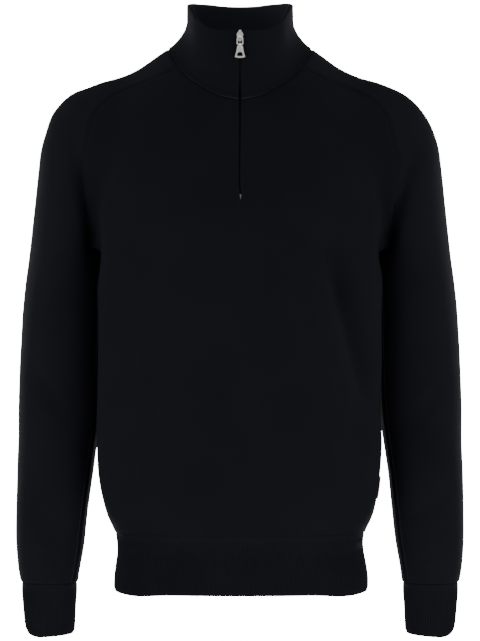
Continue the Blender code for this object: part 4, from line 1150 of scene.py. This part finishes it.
def clamped(name, stations, sides, depth, heights, hands, smooth=True):
    """A row of equal bars across the zip. A bar is a run of polygons of the stations' sizes, and
    it points to the left or, where its hand is -1, to the right."""
    turn = np.radians(np.arange(sides) * 360 / sides + 180 / sides)
    x, high, deep = (np.array(stations) * MM).T[..., None]
    bar = np.stack(np.broadcast_arrays(x, high * np.cos(turn), depth + deep * np.sin(turn)), -1)
    hands = np.broadcast_to(hands, len(heights))
    bars = bar.reshape(-1, 3) * np.stack([hands, hands**2, hands**2], -1)[:, None]
    left = bar_faces(len(stations), sides)
    right = [face[::-1] for face in left]
    shapes = [(bar, left if hand > 0 else right) for bar, hand in zip(on_zip(bars, heights), hands)]
    return mesh_piece(name, *merged(shapes), smooth=smooth)


def merged(shapes):
    """Several shapes' points and faces as one mesh."""
    points, faces, count = [], [], 0
    for shape, own in shapes:
        points.append(shape.reshape(-1, 3))
        faces += [[int(v) + count for v in f] for f in own]
        count += len(points[-1])
    return np.concatenate(points), faces


heights = np.arange(*TEETH_SPAN, TOOTH_PITCH) * MM
hands = np.where(np.arange(len(heights)) % 2, 1, -1)
teeth = clamped("zip_teeth", TOOTH, 8, TEETH_DEPTH, heights, hands, smooth=False)
teeth.data.materials.append(metal_material("teeth_painted_shade", TEETH_PAINTED_SHADE))
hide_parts("zip_chain")

stop = clamped("zip_bottom_stop", STOP, 12, STOP_DEPTH, np.array(STOP_HEIGHTS) * MM, 1)
SILVER = metal_material("warm_silver", {})
stop.data.materials.append(SILVER)
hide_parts("zip_stop")


# ---- Slider
# A die-cast slider, plated a warm silver: a front plate with a narrow nose, a bridge that holds the
# pull, a neck between the two rows of teeth and a back plate behind them.

LINK_HINGE, TAB_HINGE = (np.array(joint["pos_m"]) for joint in frame["record"]["behaviour"]["joints"])
DOWN = (TAB_HINGE - LINK_HINGE) / np.linalg.norm(TAB_HINGE - LINK_HINGE)
INWARDS = np.array([0, -DOWN[2], DOWN[1]])
FACE = 3.3  # how far the cloth lies behind the hinge (mm)
SLIDER_OUTLINE = [  # half of the front plate: x, z (mm)
    (1.3, 6.7),
    (1.7, 6.2),
    (1.7, 4.7),
    (2.9, 3.7),
    (4.0, 2.0),
    (4.1, -0.4),
    (3.2, -2.8),
    (2.2, -4.6),
    (1.9, -7.9),
]
BACK_OUTLINE = [(2, 5.6), (3.4, 4), (3.4, -6)]  # half of the back plate
PLATE_MIDDLE = (0, -0.5)
BRIDGE = [  # the bridge's middle line by step: y, z (mm)
    (0, 1.9, 3.6),
    (1, 0.5, 3.1),
    (2, -0.7, 2.05),
    (3, -1.28, 0.7),
    (4, -1.38, -0.6),
    (5, -1.08, -2.1),
    (6, -0.2, -3.5),
    (7, 1.2, -4.4),
    (8, 1.9, -4.65),
]


def hung(points, hinge):
    """Points drawn about a hinge, in mm with y inwards and z up, carried to where it hangs."""
    across, deep, up = np.moveaxis(np.asarray(points) * MM, -1, 0)
    return hinge + across[..., None] * (1, 0, 0) + deep[..., None] * INWARDS - up[..., None] * DOWN


def rounded(outline, rounds=3):
    """A closed outline with its corners cut off again and again, at a quarter and three quarters."""
    line = np.array(outline, float)
    for _ in range(rounds):
        after = np.roll(line, -1, 0)
        line = np.stack([line * 0.75 + after * 0.25, line * 0.25 + after * 0.75], 1).reshape(-1, 2)
    return line


def seen_from(line, centre, turn):
    """How far a closed outline is from a point inside it, in each direction."""
    off = line - centre
    angle, far = np.arctan2(off[:, 1], off[:, 0]), np.hypot(*off.T)
    return np.interp(turn, *(v[np.argsort(angle)] for v in (angle, far)), period=2 * np.pi)


def doubled(outline):
    """A half outline, top to bottom, with its mirror image."""
    return outline + [(-x, z) for x, z in outline[::-1]]


def plate(outline, centre, near, far, crown=0.0, around=72, power=0.3):
    """A plate with rounded edges: from the front's pole to the back's, the share of the way out is
    sin(t)^p and the depth is cos(t)^p, and the front swells by `crown` towards the middle."""
    turn = np.linspace(-np.pi, np.pi, around, endpoint=False)
    reach = seen_from(rounded(outline), centre, turn)
    t = np.linspace(0, np.pi, 25)[:, None]
    share = np.sin(t) ** power
    share[[0, -1]] = 0
    growing = np.linspace(0, 1, 6)[:-1, None]
    share = np.concatenate([growing * share[1], share[1:-1], growing[::-1] * share[-2]])
    depth = signed_power(np.cos(t), power)[1:-1]
    depth = np.concatenate([np.ones((5, 1)), depth, -np.ones((5, 1))])
    middle, half = (near + far) / 2, (far - near) / 2
    swell = crown * (1 - share**2) * (depth > 0)
    x = centre[0] + share * reach * np.cos(turn)
    z = centre[1] + share * reach * np.sin(turn)
    points = np.stack([x, np.broadcast_to(middle - half * depth - swell, x.shape), z], -1)
    index = index_grid(points, "columns")
    index[0], index[-1] = index[0, 0], index[-1, 0]
    return points, quads(index)


def swept(path, across, half_width, half_thick, sides=16, power=0.55):
    """A bar along a path: sections across it are superellipses, |x/a|^(2/p) + |y/b|^(2/p) = 1."""
    run = np.gradient(path, axis=0)
    run /= np.linalg.norm(run, axis=1, keepdims=True)
    up = np.cross(run, across)
    turn = np.linspace(0, 2 * np.pi, sides, endpoint=False)[:, None]
    side = half_width * signed_power(np.cos(turn), power)
    rise = half_thick * signed_power(np.sin(turn), power)
    return path[:, None] + across * side + up[:, None] * rise, bar_faces(len(path), sides)


def outward(piece):
    """Turns a finished piece's faces to the outside, and keeps its sharp edges."""
    mesh = bmesh.new()
    mesh.from_mesh(piece.data)
    bmesh.ops.recalc_face_normals(mesh, faces=mesh.faces)
    mesh.to_mesh(piece.data)
    mesh.free()
    piece.data.shade_smooth()
    piece.data.set_sharp_from_angle(angle=np.radians(50))


ACROSS = np.array([1.0, 0, 0])
arch = np.insert(through(BRIDGE, np.linspace(0, 8, 49)), 0, 0.0, axis=1)
neck_path = np.stack([np.zeros(6), np.linspace(FACE - 0.6, FACE + 4.8, 6), np.full(6, 3.2)], -1)
points, faces = merged([
    plate(doubled(SLIDER_OUTLINE), PLATE_MIDDLE, FACE - 1.7, FACE - 0.3, crown=0.25),
    plate(doubled(BACK_OUTLINE), PLATE_MIDDLE, FACE + 4.4, FACE + 5.5),
    swept(arch, ACROSS, 1.35, 0.37),
    swept(neck_path, ACROSS, 0.6, 1.9),
])
slider = mesh_piece("slider_body", hung(points, LINK_HINGE), faces)
outward(slider)
slider.data.materials.append(SILVER)
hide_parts("zip_slider")


# ---- Pull link
# A bent wire link, flattened along its two sides, that swings in the slider's bridge.

LINK_LENGTH, LINK_HALF, LINK_CORNER, LINK_SIDE, PIN = 11.9, 3.35, 1.2, 0.9, 0.6
LINK_NARROWING = 0.9  # how much nearer its middle each side runs beside the bridge (mm)
NARROW_SPAN = (-5.2, -2.6)  # the heights between which it does so (mm)
bend = np.linspace(0, np.pi / 2, 9)
corner = LINK_CORNER * np.stack([np.cos(bend), np.sin(bend)], -1)
half = LINK_HALF - LINK_CORNER
upper = [corner + (half, -LINK_CORNER), corner[::-1] * (-1, 1) + (-half, -LINK_CORNER)]
lower = [side[::-1] * (1, -1) - (0, LINK_LENGTH) for side in upper[::-1]]
ring = np.concatenate(upper + lower)
ring = np.insert(np.concatenate([ring, ring[:1]]), 1, 0.0, axis=1)
ring = along(ring, np.linspace(0, length_of(ring), 97)[:-1])
beside = ease(*NARROW_SPAN, ring[:, 2]) * ease(0, LINK_HALF, np.abs(ring[:, 0]))
ring[:, 0] -= np.sign(ring[:, 0]) * LINK_NARROWING * beside
run = np.roll(ring, -1, 0) - np.roll(ring, 1, 0)
run /= np.linalg.norm(run, axis=1, keepdims=True)
inwards = np.array([0, 1.0, 0])
wide = PIN + (LINK_SIDE - PIN) * ease(0.5, 1, np.abs(run[:, 2]))
turn = np.linspace(0, 2 * np.pi, 16, endpoint=False)
cos, sin = signed_power(np.cos(turn), 0.7), signed_power(np.sin(turn), 0.7)
sideways = np.cross(run, inwards)[:, None] * (wide[:, None] * cos)[..., None]
points = ring[:, None] + sideways + inwards * (PIN * sin)[:, None]
faces = quads(index_grid(points, "both"))
link = mesh_piece("link_ring", hung(points, LINK_HINGE), faces, body="pull_link")
outward(link)
link.data.materials.append(SILVER)
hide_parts("pull_link")


# ---- Pull tab
# A die-cast tab that flares to its rounded foot, with a window near it and a sunk panel above. The
# barrel at its head turns on the link's lower bar.

TAB_OUTLINE = [  # half of the blade: x, z (mm)
    (2.9, -1.4),
    (3.65, -2.2),
    (4.2, -6.4),
    (5.1, -11.2),
    (6.1, -14.6),
    (6.5, -15.6),
    (6.0, -16.2),
    (3.2, -16.9),
    (0.9, -17.2),
]
WINDOW = [(2.2, -10.0), (2.8, -10.7), (3.9, -14.0), (3.3, -14.8)]  # half of the window
WINDOW_MIDDLE, TAB_HALF, EDGE_ROUND, SINK = (0, -12.3), 0.6, 0.3, 0.32
EYE = 0.98  # the barrel's bore, from its middle (mm)
BARREL = [  # the barrel's wall beyond its bore, and x (mm)
    (0, -1.45),
    (0.1, -1.6),
    (0.55, -1.6),
    (0.7, -1.4),
    (0.7, 1.4),
    (0.55, 1.6),
    (0.1, 1.6),
    (0, 1.45),
]
turn = np.linspace(-np.pi, np.pi, 144, endpoint=False)
far = seen_from(rounded(doubled(TAB_OUTLINE), 4), WINDOW_MIDDLE, turn)
near = seen_from(rounded(doubled(WINDOW), 3), WINDOW_MIDDLE, turn)
quarter, flat = np.linspace(0, np.pi / 2, 5), np.linspace(0, 1, 22)[1:-1]
edge_in, edge_up = EDGE_ROUND * (1 - np.cos(quarter)), EDGE_ROUND * (1 - np.sin(quarter))
share = np.concatenate([np.zeros(5), flat, np.ones(5)])
front_in, back_in = EDGE_ROUND * (1 - 2 * flat), EDGE_ROUND * (2 * flat[::-1] - 1)
inset = np.concatenate([edge_in, front_in, -edge_in[::-1], -edge_in, back_in, edge_in[::-1]])
depth = np.concatenate([edge_up, np.zeros(20), edge_up[::-1]]) - TAB_HALF
share, depth = np.concatenate([share, share[::-1]]), np.concatenate([depth, -depth[::-1]])
radius = near[:, None] + (far - near)[:, None] * share + inset
x, z = radius * np.cos(turn)[:, None], WINDOW_MIDDLE[1] + radius * np.sin(turn)[:, None]
panel_width = 1.9 + 0.9 * ease(-2.5, -8.5, z)
sunk = ease(0.25, -0.1, np.abs(x) - panel_width) * ease(-2.6, -2.95, z) * ease(-8.9, -8.5, z)
y = depth + SINK * sunk * (depth <= -TAB_HALF + 0.01)
blade = np.stack([x, y, z], -1)
spin = np.linspace(0, 2 * np.pi, 33)[:-1, None]
wall, out_x = np.array(BARREL).T
around = (EYE + wall) * np.sin(spin), (EYE + wall) * np.cos(spin)
barrel = np.stack(np.broadcast_arrays(out_x, *around), -1)
points, faces = merged([(shape, quads(index_grid(shape, "both"))) for shape in (blade, barrel)])
tab = mesh_piece("tab_blade", hung(points, TAB_HINGE), faces, body="pull_tab")
outward(tab)
tab.data.materials.append(SILVER)
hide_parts("pull_tab")


# ---- Side tab
# A short length of woven ribbon, folded in half and caught in the left side seam near the hem, with
# small diamonds in three colours on navy.

TAB_LOW, TAB_HIGH = -552 * MM, -524 * MM
TAB_START, TAB_REACH, TAB_LIFT, TAB_THICK = 0.5 * MM, 12 * MM, 0.7 * MM, 0.9 * MM
DIAMOND_HALF = 0.44  # half a diamond's width, as a share of the pitch
DIAMOND_YARNS = (0.7, 0.46, 0.07), (0.8, 0.79, 0.75), (0.55, 0.04, 0.05)


def diamond_group():
    """Ribbon weave with diamonds: |x| + |z| under a half width, on a grid, in three yarns in turn."""
    w = Pattern("diamond_ribbon", {"Pitch": 6.0 * MM, "Ground": (0.012, 0.014, 0.035)})
    x, z, _ = w.parts(w.node("ShaderNodeUVMap", uv_map="cloth").outputs[0])
    up = w.math("DIVIDE", z, w.given["Pitch"])
    across = w.math("ADD", w.math("DIVIDE", x, w.given["Pitch"]), 0.5)
    off_x, off_z = (w.math("ABSOLUTE", w.math("SUBTRACT", w.math("FRACT", v), 0.5)) for v in (across, up))
    inside = w.math("LESS_THAN", w.math("ADD", off_x, off_z), DIAMOND_HALF)
    turn = w.math("FRACT", w.math("MULTIPLY_ADD", w.math("FLOOR", up), 1 / 3, 0.05))
    yarn = w.mix(w.math("GREATER_THAN", turn, 1 / 3), DIAMOND_YARNS[0], DIAMOND_YARNS[1])
    yarn = w.mix(w.math("GREATER_THAN", turn, 2 / 3), yarn, DIAMOND_YARNS[2])
    thread = w.math("MULTIPLY_ADD", w.ripple(x, 0.3 * MM), 0.4, 0.6)
    height = w.math("MULTIPLY", w.ripple(z, 0.45 * MM), thread)
    shade = w.math("MULTIPLY_ADD", height, 0.5, 0.5)
    color = w.scaled(w.mix(inside, w.given["Ground"], yarn), shade)
    return w.put_out(color, height, w.math("MULTIPLY_ADD", height, -0.15, 0.75))


beside = front_grid[:, ::-1]
reach = run_of(beside.swapaxes(0, 1)).T
wanted = np.linspace(TAB_START, TAB_REACH, 25)
near_tab = range(60)  # the lowest rows of the front, which reach past the tab
read = [[np.interp(wanted, reach[r], beside[r, :, k]) for k in range(3)] for r in near_tab]
levels = np.linspace(TAB_LOW, TAB_HIGH, 41)
columns = np.transpose(read, (2, 1, 0))
face = np.stack([[np.interp(levels, z, v) for v in (x, y, z)] for x, y, z in columns]).transpose(0, 2, 1)
normals = normals_at(face, "body")
into_fold = ((wanted - (TAB_REACH - TAB_THICK / 2)) / (TAB_THICK / 2)).clip(0, 1)
thick = TAB_THICK * np.sqrt(np.clip(1 - into_fold**2, 0.02, 1))
lift = TAB_LIFT + TAB_THICK / 2
top, under = (face + normals * (lift + half)[:, None, None] for half in (thick / 2, -thick / 2))
skin = np.concatenate([top, under[::-1]])
index = index_grid(skin, "rows")
there_and_back = np.concatenate([wanted, wanted[::-1]])[:, None]
cloth = np.stack(np.broadcast_arrays(there_and_back, (levels - TAB_LOW)[None]), -1)
faces = quads(index) + [index[:-1, 0].tolist(), index[:-1, -1].tolist()[::-1]]
side_tab = mesh_piece("side_tab_ribbon", skin, faces, cloth)
outward(side_tab)
side_tab.data.materials.append(knit_material("diamond_ribbon", diamond_group(), {}, 0.12 * MM))
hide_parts("side_tab")


# ---- Camera, light and floor
# A plain studio: the camera stands level four metres in front, a low soft light stands to its right
# and a higher one to its left, two more stand behind the garment, and a pale floor lies far below.

camera_data = bpy.data.cameras.new("camera")
camera_data.lens, camera_data.sensor_width, camera_data.clip_end = 176.9, 36, 50
camera = bpy.data.objects.new("camera", camera_data)
camera.location, camera.rotation_euler = (0, -4.0, -0.328), (np.pi / 2, 0, 0)
bpy.context.scene.collection.objects.link(camera)
bpy.context.scene.camera = camera

# Each light: name, azimuth and height of its direction (degrees), size (m), power (W)
LIGHTS = [
    ("right_softbox", 43, -20, 1.6, 49),
    ("left_softbox", -43, -10, 1.6, 47),
    ("back_left_softbox", -150, -6, 1.6, 30),
    ("back_right_softbox", 150, -6, 1.6, 30),
]
AIM = np.array([0, 0, -0.33])
for name, azimuth, height, size, power in LIGHTS:
    data = bpy.data.lights.new(name, "AREA")
    data.energy, data.size = power, size
    lamp = bpy.data.objects.new(name, data)
    a, h = np.radians(azimuth), np.radians(height)
    way = np.array([np.sin(a) * np.cos(h), -np.cos(a) * np.cos(h), np.sin(h)])
    lamp.location = AIM + way * 2.6
    lamp.rotation_euler = (np.pi / 2 - h, 0, a)
    bpy.context.scene.collection.objects.link(lamp)

FILL, BACKDROP = 0.53, 18.0  # the white surround as a light, and as the backdrop that is seen
world = bpy.data.worlds.new("studio")
world.use_nodes = True
w = Wiring(world.node_tree)
backdrop = world.node_tree.nodes["Background"]
backdrop.inputs["Color"].default_value = (1, 1, 1, 1)
seen = w.node("ShaderNodeLightPath").outputs["Is Camera Ray"]
w.feed(backdrop.inputs["Strength"], w.math("MULTIPLY_ADD", seen, BACKDROP - FILL, FILL))
bpy.context.scene.world = world

FLOOR_RADIUS, FLOOR_Z = 0.9, -3.3
turn = np.linspace(0, 2 * np.pi, 96, endpoint=False)
edge = FLOOR_RADIUS * np.stack([np.cos(turn), np.sin(turn)], -1)
floor_mesh = bpy.data.meshes.new("floor")
floor_mesh.from_pydata([(x, y, FLOOR_Z) for x, y in edge], [], [list(range(len(edge)))])
floor_look = bpy.data.materials.new("pale_floor")
floor_look.use_nodes = True
floor_look.node_tree.nodes["Principled BSDF"].inputs["Base Color"].default_value = (0.85, 0.85, 0.85, 1)
floor_mesh.materials.append(floor_look)
floor = bpy.data.objects.new("floor", floor_mesh)
bpy.context.scene.collection.objects.link(floor)
